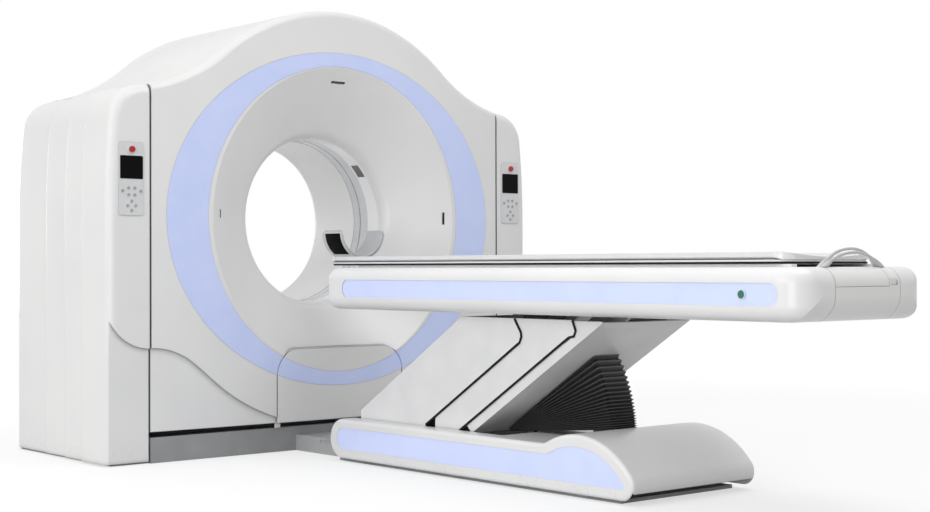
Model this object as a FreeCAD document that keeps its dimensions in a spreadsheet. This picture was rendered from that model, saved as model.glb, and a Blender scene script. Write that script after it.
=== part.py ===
import FreeCAD, Part
import math
import os
import re
import Sketcher
from FreeCAD import Placement, Rotation, Vector

# CT scanner: tilting gantry with a spinning rotor, and a patient table on a parallelogram lift.
# Frame: millimetres, origin on the floor under the isocentre, +Z up, the table lies towards -Y,
# and -X is the side that carries the release button.

doc = FreeCAD.newDocument("CtScanner")

sizes = {
    # bore and scan plane
    "isoHeight": 952,
    "boreRadius": 350,
    "throatY": -130,
    "funnelRound": 65,
    "funnelAngle": 58,
    "funnelWall": 6,
    "rearThroatY": 340,
    "rearFlareRadius": 520,
    "linerWall": 5,
    "linerFrontEnd": -58,
    "windowEnd": 45,
    "laserSlotY": -4,
    "laserSlotWidth": 6,
    # tilting covers
    "coverHalf": 881,
    "coverFront": -320,
    "bowRise": 22,
    "frontDepth": 110,
    "rearSeam": 380,
    "coverRear": 516,
    "coverBottom": 120,
    "coverWall": 5,
    "frontWall": 14,
    "domeRadius": 868,
    "blendAngle": 40.2,
    "blendRadius": 740,
    "domeRound": 26,
    "swingRadius": "=isoHeight - swingClear",
    "swingClear": 40,
    "topCoverSkirt": 1250,
    "stepDepth": 10,
    # light ring and service cover
    "ringOuterX": 817,
    "ringOuterZ": 692,
    "ringInner": 636,
    "ringThick": 3,
    "serviceHalf": 318,
    "serviceTop": 415,
    "serviceRound": 105,
    "serviceGap": 4,
    "serviceThick": 12,
    "serviceLip": 20,
    "lipThick": 5,
    # pods and side panels
    "podGap": 8,
    "podWidth": 181,
    "podInner": "=coverHalf + podGap",
    "podOuter": "=podInner + podWidth",
    "podDepth": 207,
    "podBottom": 8,
    "podBend": 965,
    "podLean": 3470,
    "leanAngle": 6,
    "topSlope": 7.7,
    "podCorner": 140,
    "podRound": 40,
    "seamRound": 7,
    "stepRound": 190,
    "podWall": 10,
    "podFrontWall": 22,
    "panelInset": 10,
    "panelInsetStep": 6.5,
    "frontPanelOut": "=podOuter - panelInset",
    "middlePanelOut": "=frontPanelOut - panelInsetStep",
    "rearPanelOut": "=middlePanelOut - panelInsetStep",
    "frontPanelEnd": 50,
    "middlePanelEnd": 230,
    "panelDrop": 2,
    "panelDropStep": 3,
    "panelEndWall": 16,
    "panelEndRound": 34,
    # control panels
    "keyPlateX": "=(podInner + podOuter) / 2 - 12",
    "keyPlateWidth": 104,
    "keyPlateLow": 950,
    "keyPlateHigh": "=keyPlateLow + 276",
    "keyPlateThick": 3,
    "displayLow": "=keyPlateLow + 138",
    "displayHigh": "=displayLow + 88",
    "displayWidth": 96,
    "keyRadius": 7,
    "keyRise": 1.5,
    "stopHeight": "=displayHigh + 24",
    "stopRadius": 11,
    "stopStem": 6,
    "stopTravel": 4,
    "stopCapThick": 7,
    "buttonClear": 0.3,
    # floor frame and stands
    "plateThick": 20,
    "plateHalf": "=rearPanelOut - podWall",
    "plateFront": -290,
    "plateRear": 490,
    "beamWidth": 50,
    "frontBeamTop": 60,
    "rearBeamTop": 90,
    "anchorX": 800,
    "anchorY": 230,
    "anchorRadius": 9,
    "standInner": "=podInner + podWall + 6",
    "standThick": 70,
    "standFoot": 210,
    "standHead": 120,
    "shaftRadius": 60,
    "shaftEnd": "=standInner + standThick + 10",
    "runningFit": 0.05,
    "skirtHeight": 98,
    "skirtThick": 10,
    "ductHalf": 210,
    "ductHeight": 64,
    # tilt frame, bearing and drive
    "frameY": 190,
    "frameThick": 40,
    "frameRadius": 800,
    "raceOuter": 480,
    "raceMiddle": 440,
    "raceInner": 395,
    "raceDepth": 50,
    "drumY": 150,
    "drumPlate": 30,
    "drumInner": 375,
    "drumOuter": 720,
    "rimDepth": 70,
    "rimThick": 14,
    "beltThick": 4,
    "beltWidth": 26,
    "beltGap": 0.3,
    "pulleyRadius": 60,
    "pulleyWidth": 28,
    "pulleyDistance": 796,
    "pulleyAngle": 225,
    "motorRadius": 75,
    "motorLength": 150,
    "motorShaft": 15,
    # rotor load
    "tubeRadius": 85,
    "tubeDistance": 590,
    "tubeLength": 190,
    "focusRadius": 560,
    "detectorRadius": 950,
    "detectorDepth": 90,
    "detectorWidth": 120,
    "detectorAngle": 27,
    "slipRingOuter": 430,
    "slipRingDepth": 50,
    # table base
    "baseHalf": 300,
    "baseWall": 6,
    "baseRound": 14,
    "baseGap": 11,
    "baseTop": 165,
    "baseFront": -670,
    "baseRear": -2285,
    "humpRadius": 312.5,
    "humpTop": 207,
    "humpY": -2035,
    "noseRadius": 50,
    "slotHalf": 228,
    "slotFront": -715,
    "slotRear": -1600,
    "inlayDepth": 3,
    "inlayThick": 2,
    "inlayLow": 50,
    "inlayHigh": 132,
    "tablePlateThick": 12,
    "tablePlateHalf": 270,
    "tablePlateFront": -700,
    "tablePlateRear": -2210,
    "tableAnchorX": 240,
    "tableAnchorFront": -760,
    "tableAnchorRear": -2100,
    # parallelogram lift
    "armLength": 930,
    "armAngle": 32,
    "armBarX": 95,
    "armBarThick": 15,
    "armHalf": 17,
    "eyeRadius": 28,
    "pinRadius": 15,
    "frontPivotY": -840,
    "frontPivotZ": 130,
    "rearPivotY": -1363,
    "rearPivotZ": 145,
    "linkPivotY": -1235,
    "linkPivotZ": 140,
    "linkBarX": 150,
    "linkBarThick": 10,
    "lugThick": 5,
    "lugGap": 0.5,
    "columnHalf": 222,
    "columnWall": 3,
    "columnLayer": 4,
    "columnFront": 91,
    "frontSeam": 144,
    "middleSeam": 48,
    "middleLap": 112,
    "columnRear": 20,
    "rearLap": 45,
    "rearLapSlot": 13,
    "rearLapTop": 62,
    "middleTopFront": -1650,
    "columnTop": 573,
    "actuatorBaseY": -1880,
    "actuatorBaseZ": 75,
    "actuatorRadius": 27,
    "actuatorBody": 165,
    "actuatorFoot": 25,
    "actuatorEye": 20,
    "actuatorPin": 12,
    "actuatorClear": 4,
    "stageRadius": 21,
    "stageStart": 109,
    "stageLength": 140,
    "rodRadius": 14,
    "rodStart": 192,
    "bellowsY": -1434,
    "bellowsZ": 155,
    "bellowsHalf": 65,
    "bellowsFold": 7,
    "bellowsRoot": 24,
    "bellowsReach": 540,
    "bellowsWall": 13,
    "bellowsLow": 4.88,
    "bellowsHigh": 32.9,
    # table frame
    "tableHalf": 315,
    "tableLow": 589,
    "tableHigh": 748,
    "tableHead": -650,
    "tableFoot": -2950,
    "tableCoverInner": 235,
    "coverRound": 45,
    "headNose": 62,
    "footTopRound": 55,
    "headRound": 60,
    "footRound": 100,
    "noseDepth": 78,
    "tableWall": 9,
    "footSeam": 160,
    "stripeLow": 636,
    "stripeHigh": 702,
    "stripeFront": -777,
    "stripeRear": -2864,
    "stripeDepth": 5,
    "stripeThick": 2,
    "releaseY": -2734,
    "releaseZ": 669,
    "releaseRadius": 12,
    "releaseTravel": 2.5,
    "railInner": 240,
    "railOuter": "=tableHalf - coverRound",
    "railLow": 602,
    "railHigh": 738,
    "beamLow": 700,
    "guideX": 180,
    "guideWidth": 24,
    "panelSplitZ": 690,
    "footPanelRight": 105,
    # cradle
    "cradleHalf": 220,
    "cradleTop": 792,
    "cradleRim": 13,
    "cradleHead": -550,
    "cradleFoot": -2820,
    "cradleDish": 14,
    "carriageLow": 757,
    "carriageTop": 770,
    "carriageHalf": 216,
    "runnerClear": 0.3,
    "holderRadius": 112,
    "holderWall": 4,
    "padThick": 11,
    "holderFront": -359,
    "holderRear": -492,
    "earTop": 896,
    "earRound": 14,
    "tongueTop": "=cradleTop - cradleDish - 1",
}

sheet = doc.addObject("Spreadsheet::Sheet", "Sizes")
for row, (alias, number) in enumerate(sizes.items(), 1):
    sheet.set("A%d" % row, alias)
    sheet.setAlias("B%d" % row, alias)
for row, number in enumerate(sizes.values(), 1):
    sheet.set("B%d" % row, str(number))
doc.recompute()

subParts = []


# ---------------------------------------------------------------- formulas and building steps

def linked(formula):
    """The formula with each size's name tied to the sheet."""
    return re.sub(r"[A-Za-z]\w*", lambda w: "Sizes." + w.group(0) if w.group(0) in sizes else w.group(0), formula)


def value(formula):
    return float(sheet.evalExpression(linked(formula)))


def bind(item, name, formula):
    item.setExpression(name, linked(formula))


def keep(item, label):
    """Names a finished sub-part and lists it for writing."""
    item.Label = label
    subParts.append(item)
    return item


def newBody(name):
    return doc.addObject("PartDesign::Body", name)


def sketchOn(body, role, offset="0"):
    """A sketch on one of the body's own origin planes, moved along the plane's normal."""
    sketch = body.newObject("Sketcher::SketchObject", body.Name + "Sketch")
    plane = [item for item in body.Origin.OriginFeatures if item.Role == role][0]
    sketch.AttachmentSupport = [(plane, "")]
    sketch.MapMode = "FlatFace"
    if offset != "0":
        bind(sketch, ".AttachmentOffset.Base.z", offset)
    return sketch


def fix(sketch, geometry, point, x, y):
    for kind, formula in (("DistanceX", x), ("DistanceY", y)):
        constraint = sketch.addConstraint(Sketcher.Constraint(kind, -1, 1, geometry, point, value(formula)))
        bind(sketch, "Constraints[%d]" % constraint, formula)


def circle(sketch, x, y, radius):
    shape = Part.Circle(Vector(value(x), value(y), 0), Vector(0, 0, 1), value(radius))
    geometry = sketch.addGeometry(shape, False)
    constraint = sketch.addConstraint(Sketcher.Constraint("Radius", geometry, value(radius)))
    bind(sketch, "Constraints[%d]" % constraint, radius)
    fix(sketch, geometry, 3, x, y)


def arcBetween(start, end, radius, clockwise):
    """The short arc from start to end. Counter-clockwise travel keeps its centre on the left."""
    chord = end - start
    side = Vector(-chord.y, chord.x, 0) * (-1.0 if clockwise else 1.0)
    side.normalize()
    rise = math.sqrt(max(radius ** 2 - chord.Length ** 2 / 4, 0))
    centre = (start + end) * 0.5 + side * rise
    first, last = (end, start) if clockwise else (start, end)
    angles = [math.atan2(p.y - centre.y, p.x - centre.x) for p in (first, last)]
    if angles[1] < angles[0]:
        angles[1] += 2 * math.pi
    return Part.ArcOfCircle(Part.Circle(centre, Vector(0, 0, 1), radius), angles[0], angles[1])


def outline(sketch, steps):
    """A closed outline of points (x, y) and arcs (x, y, radius) that end at their point.

    A radius that starts with cw turns clockwise."""
    corners = [Vector(value(step[0]), value(step[1]), 0) for step in steps]
    ends = []
    for index, step in enumerate(steps):
        start, end = corners[index - 1], corners[index]
        if len(step) == 2:
            geometry = sketch.addGeometry(Part.LineSegment(start, end), False)
            ends.append((geometry, 1, 2))
            continue
        clockwise = step[2].startswith("cw ")
        radius = step[2][3:] if clockwise else step[2]
        geometry = sketch.addGeometry(arcBetween(start, end, value(radius), clockwise), False)
        constraint = sketch.addConstraint(Sketcher.Constraint("Radius", geometry, value(radius)))
        bind(sketch, "Constraints[%d]" % constraint, radius)
        ends.append((geometry, 2, 1) if clockwise else (geometry, 1, 2))
    for index, (geometry, first, last) in enumerate(ends):
        follower, followerFirst, _ = ends[(index + 1) % len(ends)]
        sketch.addConstraint(Sketcher.Constraint("Coincident", geometry, last, follower, followerFirst))
        fix(sketch, geometry, last, steps[index][0], steps[index][1])


def rectangle(sketch, left, low, right, high):
    outline(sketch, [(left, low), (right, low), (right, high), (left, high)])


def roundedRectangle(sketch, left, low, right, high, radius):
    inLeft, inRight = "%s + %s" % (left, radius), "%s - %s" % (right, radius)
    inLow, inHigh = "%s + %s" % (low, radius), "%s - %s" % (high, radius)
    outline(sketch, [
        (inRight, low), (right, inLow, radius), (right, inHigh), (inRight, high, radius),
        (inLeft, high), (left, inHigh, radius), (left, inLow), (inLeft, low, radius)])


def pad(body, sketch, length, reverse=False, middle=False):
    feature = body.newObject("PartDesign::Pad", body.Name + "Pad")
    feature.Profile = sketch
    bind(feature, "Length", length)
    feature.Reversed = reverse
    feature.Midplane = middle
    body.Tip = feature
    return feature


def pocket(body, sketch, length=None, reverse=False, middle=False):
    """Cuts by a length, or right through the body both ways where none is given."""
    feature = body.newObject("PartDesign::Pocket", body.Name + "Pocket")
    feature.Profile = sketch
    if length is None:
        feature.Type = "ThroughAll"
        feature.Midplane = True
    else:
        bind(feature, "Length", length)
        feature.Reversed = reverse
        feature.Midplane = middle
    body.Tip = feature
    cuts.append(feature)
    return feature


def fillet(body, radius, chosen):
    """Rounds the edges of the body's last feature that the test picks."""
    doc.recompute()
    base = body.Tip
    edges = ["Edge%d" % index for index, edge in enumerate(base.Shape.Edges, 1) if chosen(edge)]
    feature = body.newObject("PartDesign::Fillet", body.Name + "Fillet")
    feature.Base = (base, edges)
    bind(feature, "Radius", radius)
    body.Tip = feature
    return feature


def axisLine(sketch, x1, y1, x2, y2):
    """A construction line that a revolution turns about."""
    line = Part.LineSegment(Vector(value(x1), value(y1), 0), Vector(value(x2), value(y2), 0))
    geometry = sketch.addGeometry(line, True)
    fix(sketch, geometry, 1, x1, y1)
    fix(sketch, geometry, 2, x2, y2)


def revolve(body, sketch, kind="Revolution", angle="360"):
    feature = body.newObject("PartDesign::" + kind, body.Name + kind)
    feature.Profile = sketch
    feature.ReferenceAxis = (sketch, ["Axis0"])
    bind(feature, "Angle", angle)
    feature.Midplane = angle != "360"
    body.Tip = feature
    if kind == "Groove":
        cuts.append(feature)
    return feature


def boreSketch(body):
    """A sketch on the YZ plane with the bore's axis, so its points are (y, z)."""
    sketch = sketchOn(body, "YZ_Plane")
    axisLine(sketch, "-1000", "isoHeight", "1000", "isoHeight")
    return sketch


def ring(name, inner, outer, start, end):
    """A plain ring about the bore's axis, from start to end along Y."""
    body = newBody(name)
    sketch = boreSketch(body)
    rectangle(sketch, start, "isoHeight + %s" % inner, end, "isoHeight + %s" % outer)
    revolve(body, sketch)
    return body


def box(name, left, front, low, right, rear, high):
    item = doc.addObject("Part::Box", name)
    for prop, formula in (("Length", "%s - (%s)" % (right, left)), ("Width", "%s - (%s)" % (rear, front)),
                          ("Height", "%s - (%s)" % (high, low)), (".Placement.Base.x", left),
                          (".Placement.Base.y", front), (".Placement.Base.z", low)):
        bind(item, prop, formula)
    return item


def cylinder(name, radius, length, x, y, z, along):
    """A cylinder that starts at (x, y, z) and runs along the given axis."""
    turns = {"X": Rotation(Vector(0, 1, 0), 90), "Y": Rotation(Vector(1, 0, 0), -90), "Z": Rotation()}
    item = doc.addObject("Part::Cylinder", name)
    item.Placement = Placement(Vector(), turns[along])
    for prop, formula in (("Radius", radius), ("Height", length), (".Placement.Base.x", x),
                          (".Placement.Base.y", y), (".Placement.Base.z", z)):
        bind(item, prop, formula)
    return item


def cut(name, base, tool):
    item = doc.addObject("Part::Cut", name)
    item.Base = base
    item.Tool = tool
    return item


def common(name, base, tool):
    item = doc.addObject("Part::Common", name)
    item.Base = base
    item.Tool = tool
    return item


def fuse(name, items):
    item = doc.addObject("Part::MultiFuse", name)
    item.Shapes = items
    return item


def group(name, items):
    item = doc.addObject("Part::Compound", name)
    item.Links = items
    return item


def mirrored(name, source):
    """The same piece on the other side of the YZ plane."""
    item = doc.addObject("Part::Mirroring", name)
    item.Source = source
    item.Normal = Vector(1, 0, 0)
    return item


cuts = []

# ---------------------------------------------------------------- outlines shared by several covers

shoulderZ = ("(isoHeight + (domeRadius + blendRadius) * cos(blendAngle)"
             " - sqrt(blendRadius^2 - ((domeRadius + blendRadius) * sin(blendAngle) - coverHalf)^2))")
bowRadius = "(coverHalf^2 + bowRise^2) / (2 * bowRise)"


def domeOutline(sketch, bottom, inset="0"):
    """The gantry's front outline: straight sides, hollow shoulders and the dome about the bore's axis."""
    radius = "(domeRadius - %s)" % inset
    hollow = "(blendRadius + %s)" % inset
    side = "(coverHalf - %s)" % inset
    reach = "(domeRadius + blendRadius)"
    shoulder = "isoHeight + %s * cos(blendAngle) - sqrt(%s^2 - (%s * sin(blendAngle) - %s)^2)" % (
        reach, hollow, reach, side)
    turnX = "%s * sin(blendAngle)" % radius
    turnZ = "isoHeight + %s * cos(blendAngle)" % radius
    outline(sketch, [
        ("-" + side, bottom), (side, bottom), (side, shoulder), (turnX, turnZ, "cw " + hollow),
        ("0", "isoHeight + " + radius, radius), ("-%s" % turnX, turnZ, radius),
        ("-" + side, shoulder, "cw " + hollow)])


def bowSlab(name, front, rear):
    """A tall slab between two copies of the front's bowed face, moved along Y."""
    body = newBody(name)
    sketch = sketchOn(body, "XY_Plane")
    outline(sketch, [
        ("-coverHalf", "coverFront + %s" % rear), ("-coverHalf", "coverFront + %s" % front),
        ("coverHalf", "coverFront + %s" % front, bowRadius), ("coverHalf", "coverFront + %s" % rear),
        ("-coverHalf", "coverFront + %s" % rear, "cw " + bowRadius)][1:])
    pad(body, sketch, "2 * isoHeight")
    return body


def bowFront(name, offset):
    """Everything in front of the bowed face, from the given distance behind it."""
    body = newBody(name)
    sketch = sketchOn(body, "XY_Plane")
    outline(sketch, [
        ("-coverHalf - 5", "coverFront - 90"), ("coverHalf + 5", "coverFront - 90"),
        ("coverHalf + 5", "coverFront + %s" % offset), ("coverHalf", "coverFront + %s" % offset),
        ("-coverHalf", "coverFront + %s" % offset, "cw " + bowRadius),
        ("-coverHalf - 5", "coverFront + %s" % offset)])
    pad(body, sketch, "2.2 * isoHeight")
    return body


def servicePrism(name, grow):
    """The service cover's outline with its rounded top, run through the front cover."""
    body = newBody(name)
    sketch = sketchOn(body, "XZ_Plane", "-coverFront - 80")
    half = "(serviceHalf + %s)" % grow
    corner = "(serviceRound + %s)" % grow
    top = "(serviceTop + %s)" % grow
    low = "coverBottom - 20" if grow != "0" else "coverBottom"
    outline(sketch, [
        ("-" + half, low), (half, low), (half, "%s - %s" % (top, corner)),
        ("%s - %s" % (half, corner), top, corner), ("-%s + %s" % (half, corner), top),
        ("-" + half, "%s - %s" % (top, corner), corner)])
    pad(body, sketch, "160")
    return body


def ellipsePrism(name):
    """The light ring's outer outline, an ellipse about the bore's axis, run along Y."""
    curve = doc.addObject("Part::Ellipse", name + "Curve")
    bind(curve, "MajorRadius", "ringOuterX")
    bind(curve, "MinorRadius", "ringOuterZ")
    curve.Placement = Placement(Vector(), Rotation(Vector(1, 0, 0), 90))
    bind(curve, ".Placement.Base.y", "coverFront - 100")
    bind(curve, ".Placement.Base.z", "isoHeight")
    item = doc.addObject("Part::Extrusion", name)
    item.Base = curve
    item.DirMode = "Normal"
    item.LengthFwd = 160
    item.Solid = True
    return item


# ---------------------------------------------------------------- tilting covers

def funnelCut(body):
    """Opens the flared mouth: a cone that rounds into the bore."""
    sketch = boreSketch(body)
    centreZ = "isoHeight + boreRadius + funnelRound"
    startY = "throatY - funnelRound * sin(funnelAngle)"
    startZ = centreZ + " - funnelRound * cos(funnelAngle)"
    far = "(coverFront - 90)"
    outline(sketch, [
        (far, "isoHeight"), ("throatY + 60", "isoHeight"), ("throatY + 60", "isoHeight + boreRadius"),
        ("throatY", "isoHeight + boreRadius"), (startY, startZ, "cw funnelRound"),
        (far, "%s + (%s - %s) * tan(funnelAngle)" % (startZ, startY, far))])
    revolve(body, sketch, "Groove")


def funnelWallRing(body):
    """The funnel's wall, joined to the back of the front face."""
    sketch = boreSketch(body)
    inner = "(funnelRound - funnelWall)"
    centreZ = "isoHeight + boreRadius + funnelRound"
    turnY = "throatY - %s * sin(funnelAngle)" % inner
    turnZ = centreZ + " - %s * cos(funnelAngle)" % inner
    rootY = "(coverFront + 6)"
    outline(sketch, [
        (rootY, "isoHeight + boreRadius - 20"), ("throatY", "isoHeight + boreRadius - 20"),
        ("throatY", "isoHeight + boreRadius + funnelWall"), (turnY, turnZ, "cw " + inner),
        (rootY, "%s + (%s - %s) * tan(funnelAngle)" % (turnZ, turnY, rootY))])
    revolve(body, sketch)


def frontShell():
    body = newBody("frontShell")
    face = sketchOn(body, "XZ_Plane", "-coverFront + 60")
    domeOutline(face, "coverBottom")
    pad(body, face, "frontDepth + 60", reverse=True)
    plan = sketchOn(body, "XY_Plane")
    outline(plan, [
        ("-coverHalf - 5", "coverFront - 90"), ("coverHalf + 5", "coverFront - 90"),
        ("coverHalf + 5", "coverFront"), ("coverHalf", "coverFront"),
        ("-coverHalf", "coverFront", "cw " + bowRadius), ("-coverHalf - 5", "coverFront")])
    pocket(body, plan)
    front = value("coverFront") + 1
    shoulder = value(shoulderZ) - 1
    fillet(body, "domeRound", lambda edge: all(v.Y < front and v.Z > shoulder for v in edge.Vertexes))
    cavity = sketchOn(body, "XZ_Plane", "-coverFront - frontDepth")
    domeOutline(cavity, "coverBottom + coverWall", "coverWall")
    pocket(body, cavity, "frontDepth - frontWall", reverse=True)
    funnelWallRing(body)
    funnelCut(body)
    return body


def stepRegion():
    """The lower corners that lie back behind the S-shaped step, both sides."""
    halves = []
    for side in ("", "-"):
        body = newBody("stepRegion" + ("Right" if side == "" else "Left"))
        sketch = sketchOn(body, "XZ_Plane", "-coverFront - 80")
        turn = "" if side == "" else "cw "
        back = "cw " if side == "" else ""
        points = [
            (side + "(serviceHalf - 30)", "coverBottom - 10"), (side + "(coverHalf + 5)", "coverBottom - 10"),
            (side + "(coverHalf + 5)", "442"), (side + "coverHalf", "442"),
            (side + "(coverHalf - 190)", "372", turn + "300"), (side + "(coverHalf - 306)", "276"),
            (side + "serviceHalf", "143", back + "830"), (side + "(serviceHalf - 30)", "143")]
        outline(sketch, points)
        pad(body, sketch, "160")
        halves.append(body)
    return fuse("stepRegions", halves)


def lampSlots():
    """The three slots in the funnel that the positioning lamps shine through."""
    spans = (("-27", "1522", "43", "1531"), ("576", "938", "584", "992"), ("-566", "948", "-558", "982"))
    return fuse("lampSlots", [
        box("lampSlot%d" % index, left, "coverFront - 30", low, right, "throatY - 10", high)
        for index, (left, low, right, high) in enumerate(spans)])


def makeFrontCovers():
    """Front cover, service cover and the two pieces of the light ring."""
    shell = frontShell()
    ellipse = ellipsePrism("ringOutline")
    hole = cylinder("ringHole", "ringInner", "200", "0", "coverFront - 120", "isoHeight", "Y")
    annulus = cut("ringAnnulus", ellipse, hole)
    ringBody = common("ringBand", annulus, bowSlab("ringSlab", "-1", "ringThick"))
    recess = common("stepRecess", stepRegion(), bowFront("stepFront", "stepDepth"))
    opening = servicePrism("serviceOpening", "serviceGap")
    slots = lampSlots()
    tools = fuse("frontTools", [recess, opening, ringBody, slots])
    lip = common("serviceLip", cut("lipRing", servicePrism("lipOuter", "serviceGap + 2"),
                                   servicePrism("lipInner", "0 - serviceLip")),
                 bowSlab("lipSlab", "serviceThick", "serviceThick + lipThick"))
    keep(fuse("frontCover", [cut("openedFront", shell, tools), lip]), "front_cover")
    plate = common("servicePlate", servicePrism("serviceOutline", "0"), bowSlab("serviceSlab", "0", "serviceThick"))
    keep(cut("serviceCover", plate, ringBody), "service_cover")
    outer = cut("ringMain", ringBody, opening)
    inner = common("ringService", ringBody, servicePrism("serviceOutlineRing", "0"))
    keep(group("lightBands", [outer, inner]), "light_ring")
    return common("funnelLamps", shell, slots)


def makeTopCover():
    body = newBody("topCover")
    sketch = sketchOn(body, "XZ_Plane", "-coverFront - frontDepth")
    domeOutline(sketch, "topCoverSkirt")
    pad(body, sketch, "rearSeam - coverFront - frontDepth", reverse=True)
    cavity = sketchOn(body, "XZ_Plane", "-coverFront - frontDepth")
    domeOutline(cavity, "topCoverSkirt - 10", "coverWall")
    pocket(body, cavity)
    keep(body, "top_cover")


def makeRearCover():
    """Rear cover with the bore's rear tube and flare, its foot cut on an arc about the tilt axis."""
    body = newBody("rearCover")
    face = sketchOn(body, "XZ_Plane", "-rearSeam")
    domeOutline(face, "coverBottom")
    pad(body, face, "coverRear - rearSeam", reverse=True)
    cavity = sketchOn(body, "XZ_Plane", "-rearSeam")
    domeOutline(cavity, "coverBottom + coverWall", "coverWall")
    pocket(body, cavity, "coverRear - rearSeam - coverWall")
    wall = boreSketch(body)
    tube = "isoHeight + boreRadius + linerWall"
    lip = "isoHeight + rearFlareRadius + 12"
    outline(wall, [
        ("windowEnd", "isoHeight + boreRadius - 20"), ("coverRear", "isoHeight + boreRadius - 20"),
        ("coverRear", lip), ("coverRear - coverWall", lip), ("rearThroatY", tube),
        ("windowEnd", tube)])
    revolve(body, wall)
    mouth = boreSketch(body)
    outline(mouth, [
        ("windowEnd - 5", "isoHeight"), ("coverRear + 5", "isoHeight"),
        ("coverRear + 5", "isoHeight + rearFlareRadius + 3"),
        ("rearThroatY", "isoHeight + boreRadius", "cw 420"), ("windowEnd - 5", "isoHeight + boreRadius")])
    revolve(body, mouth, "Groove")
    foot = sketchOn(body, "YZ_Plane")
    reach = "isoHeight - sqrt(swingRadius^2 - %s^2)"
    outline(foot, [
        ("rearSeam - 10", "coverBottom - 30"), ("coverRear + 20", "coverBottom - 30"),
        ("coverRear + 20", reach % "(coverRear + 20)"),
        ("rearSeam - 10", reach % "(rearSeam - 10)", "cw swingRadius")])
    pocket(body, foot)
    keep(body, "rear_cover")


def makeBoreLiner(funnelLamps):
    liner = ring("boreLinerRing", "boreRadius", "(boreRadius + linerWall)", "throatY", "linerFrontEnd")
    slot = box("boreLampSlot", "0", "throatY + 12", "0", "25", "linerFrontEnd - 10", "64")
    angle = 39.5
    slot.Placement = Placement(Vector(), Rotation(Vector(0, 1, 0), -angle))
    bind(slot, ".Placement.Base.x", "(boreRadius - 10) * cos(%s) + 32 * sin(%s)" % (angle, angle))
    bind(slot, ".Placement.Base.y", "throatY + 12")
    bind(slot, ".Placement.Base.z", "isoHeight + (boreRadius - 10) * sin(%s) - 32 * cos(%s)" % (angle, angle))
    keep(cut("boreLiner", liner, slot), "bore_liner")
    keep(group("lamps", [funnelLamps, common("boreLamp", liner, slot)]), "positioning_lamps")
    body = newBody("scanWindow")
    sketch = boreSketch(body)
    wall = "isoHeight + boreRadius + linerWall"
    slotEnd = "laserSlotY + laserSlotWidth"
    outline(sketch, [
        ("linerFrontEnd", "isoHeight + boreRadius + 1"), ("laserSlotY", "isoHeight + boreRadius + 1"),
        ("laserSlotY", wall + " - 1.5"), (slotEnd, wall + " - 1.5"), (slotEnd, "isoHeight + boreRadius + 1"),
        ("windowEnd", "isoHeight + boreRadius + 1"), ("windowEnd", wall), ("linerFrontEnd", wall)])
    revolve(body, sketch)
    keep(body, "scan_window")


# ---------------------------------------------------------------- pods, side panels and floor frame

def shoulderOutline(sketch, outer, drop, inset="0", low="podBottom"):
    """Half of the fixed housing's outline: a side that leans in, a rounded shoulder and a sloping top."""
    lean = "(podLean - %s)" % inset
    corner = "(podCorner - %s)" % inset
    leanX = "(%s - podLean)" % outer
    leanZ = "(podBend - %s)" % drop
    centreX = "(%s + (podLean - podCorner) * cos(leanAngle))" % leanX
    centreZ = "(%s + (podLean - podCorner) * sin(leanAngle))" % leanZ
    crestX = "(%s + %s * sin(topSlope))" % (centreX, corner)
    crestZ = "(%s + %s * cos(topSlope))" % (centreZ, corner)
    inner = "(podInner + %s)" % inset
    outline(sketch, [
        (inner, low), ("%s - %s" % (outer, inset), low), ("%s - %s" % (outer, inset), leanZ),
        ("%s + %s * cos(leanAngle)" % (leanX, lean), "%s + %s * sin(leanAngle)" % (leanZ, lean), lean),
        (crestX, crestZ, corner), (inner, "%s + (%s - %s) * tan(topSlope)" % (crestZ, crestX, inner))])


def roundRim(body, y):
    """Rounds the outer rim of a housing where it meets its neighbour at a seam."""
    inner = value("podInner") + 1
    low = value("podBottom") + 1

    def atSeam(edge):
        points = [v.Point for v in edge.Vertexes]
        return all(abs(p.y - y) < 0.1 for p in points) and not all(p.x < inner for p in points) \
            and not all(p.z < low for p in points)

    fillet(body, "seamRound", atSeam)


def makePods():
    """The two fixed front pods; the left one mirrors the right one."""
    body = newBody("podFront")
    face = sketchOn(body, "XZ_Plane", "-coverFront")
    shoulderOutline(face, "podOuter", "0")
    pad(body, face, "podDepth", reverse=True)
    front = value("coverFront") + 1
    inner = value("podInner") + 1
    low = value("podBottom") + 1

    def onRim(edge):
        points = [v.Point for v in edge.Vertexes]
        return all(p.y < front for p in points) and not all(p.x < inner for p in points) \
            and not all(p.z < low for p in points)

    fillet(body, "podRound", onRim)
    roundRim(body, value("coverFront + podDepth"))
    cavity = sketchOn(body, "XZ_Plane", "-coverFront - podDepth")
    shoulderOutline(cavity, "podOuter", "0", "podWall", "podBottom - 5")
    pocket(body, cavity, "podDepth - podFrontWall", reverse=True)
    foot = sketchOn(body, "XZ_Plane", "-coverFront - podDepth")
    rectangle(foot, "podInner - 5", "podBottom - 5", "podOuter - podWall", "plateThick + 5")
    pocket(body, foot, "podDepth - podFrontWall", reverse=True)
    step = sketchOn(body, "XZ_Plane", "-coverFront - stepDepth")
    outline(step, [
        ("podInner - 5", "podBottom - 5"), ("podOuter + 5", "podBottom - 5"), ("podOuter + 5", "440 + stepRound"),
        ("podInner - 5 + stepRound", "440 + stepRound"), ("podInner - 5", "440", "cw stepRound")])
    pocket(body, step, "60", reverse=True)
    stem = sketchOn(body, "XZ_Plane", "-coverFront")
    circle(stem, "keyPlateX", "stopHeight", "stopStem + buttonClear")
    pocket(body, stem, "podFrontWall")
    keep(body, "right_pod")
    keep(mirrored("leftPod", body), "left_pod")


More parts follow.
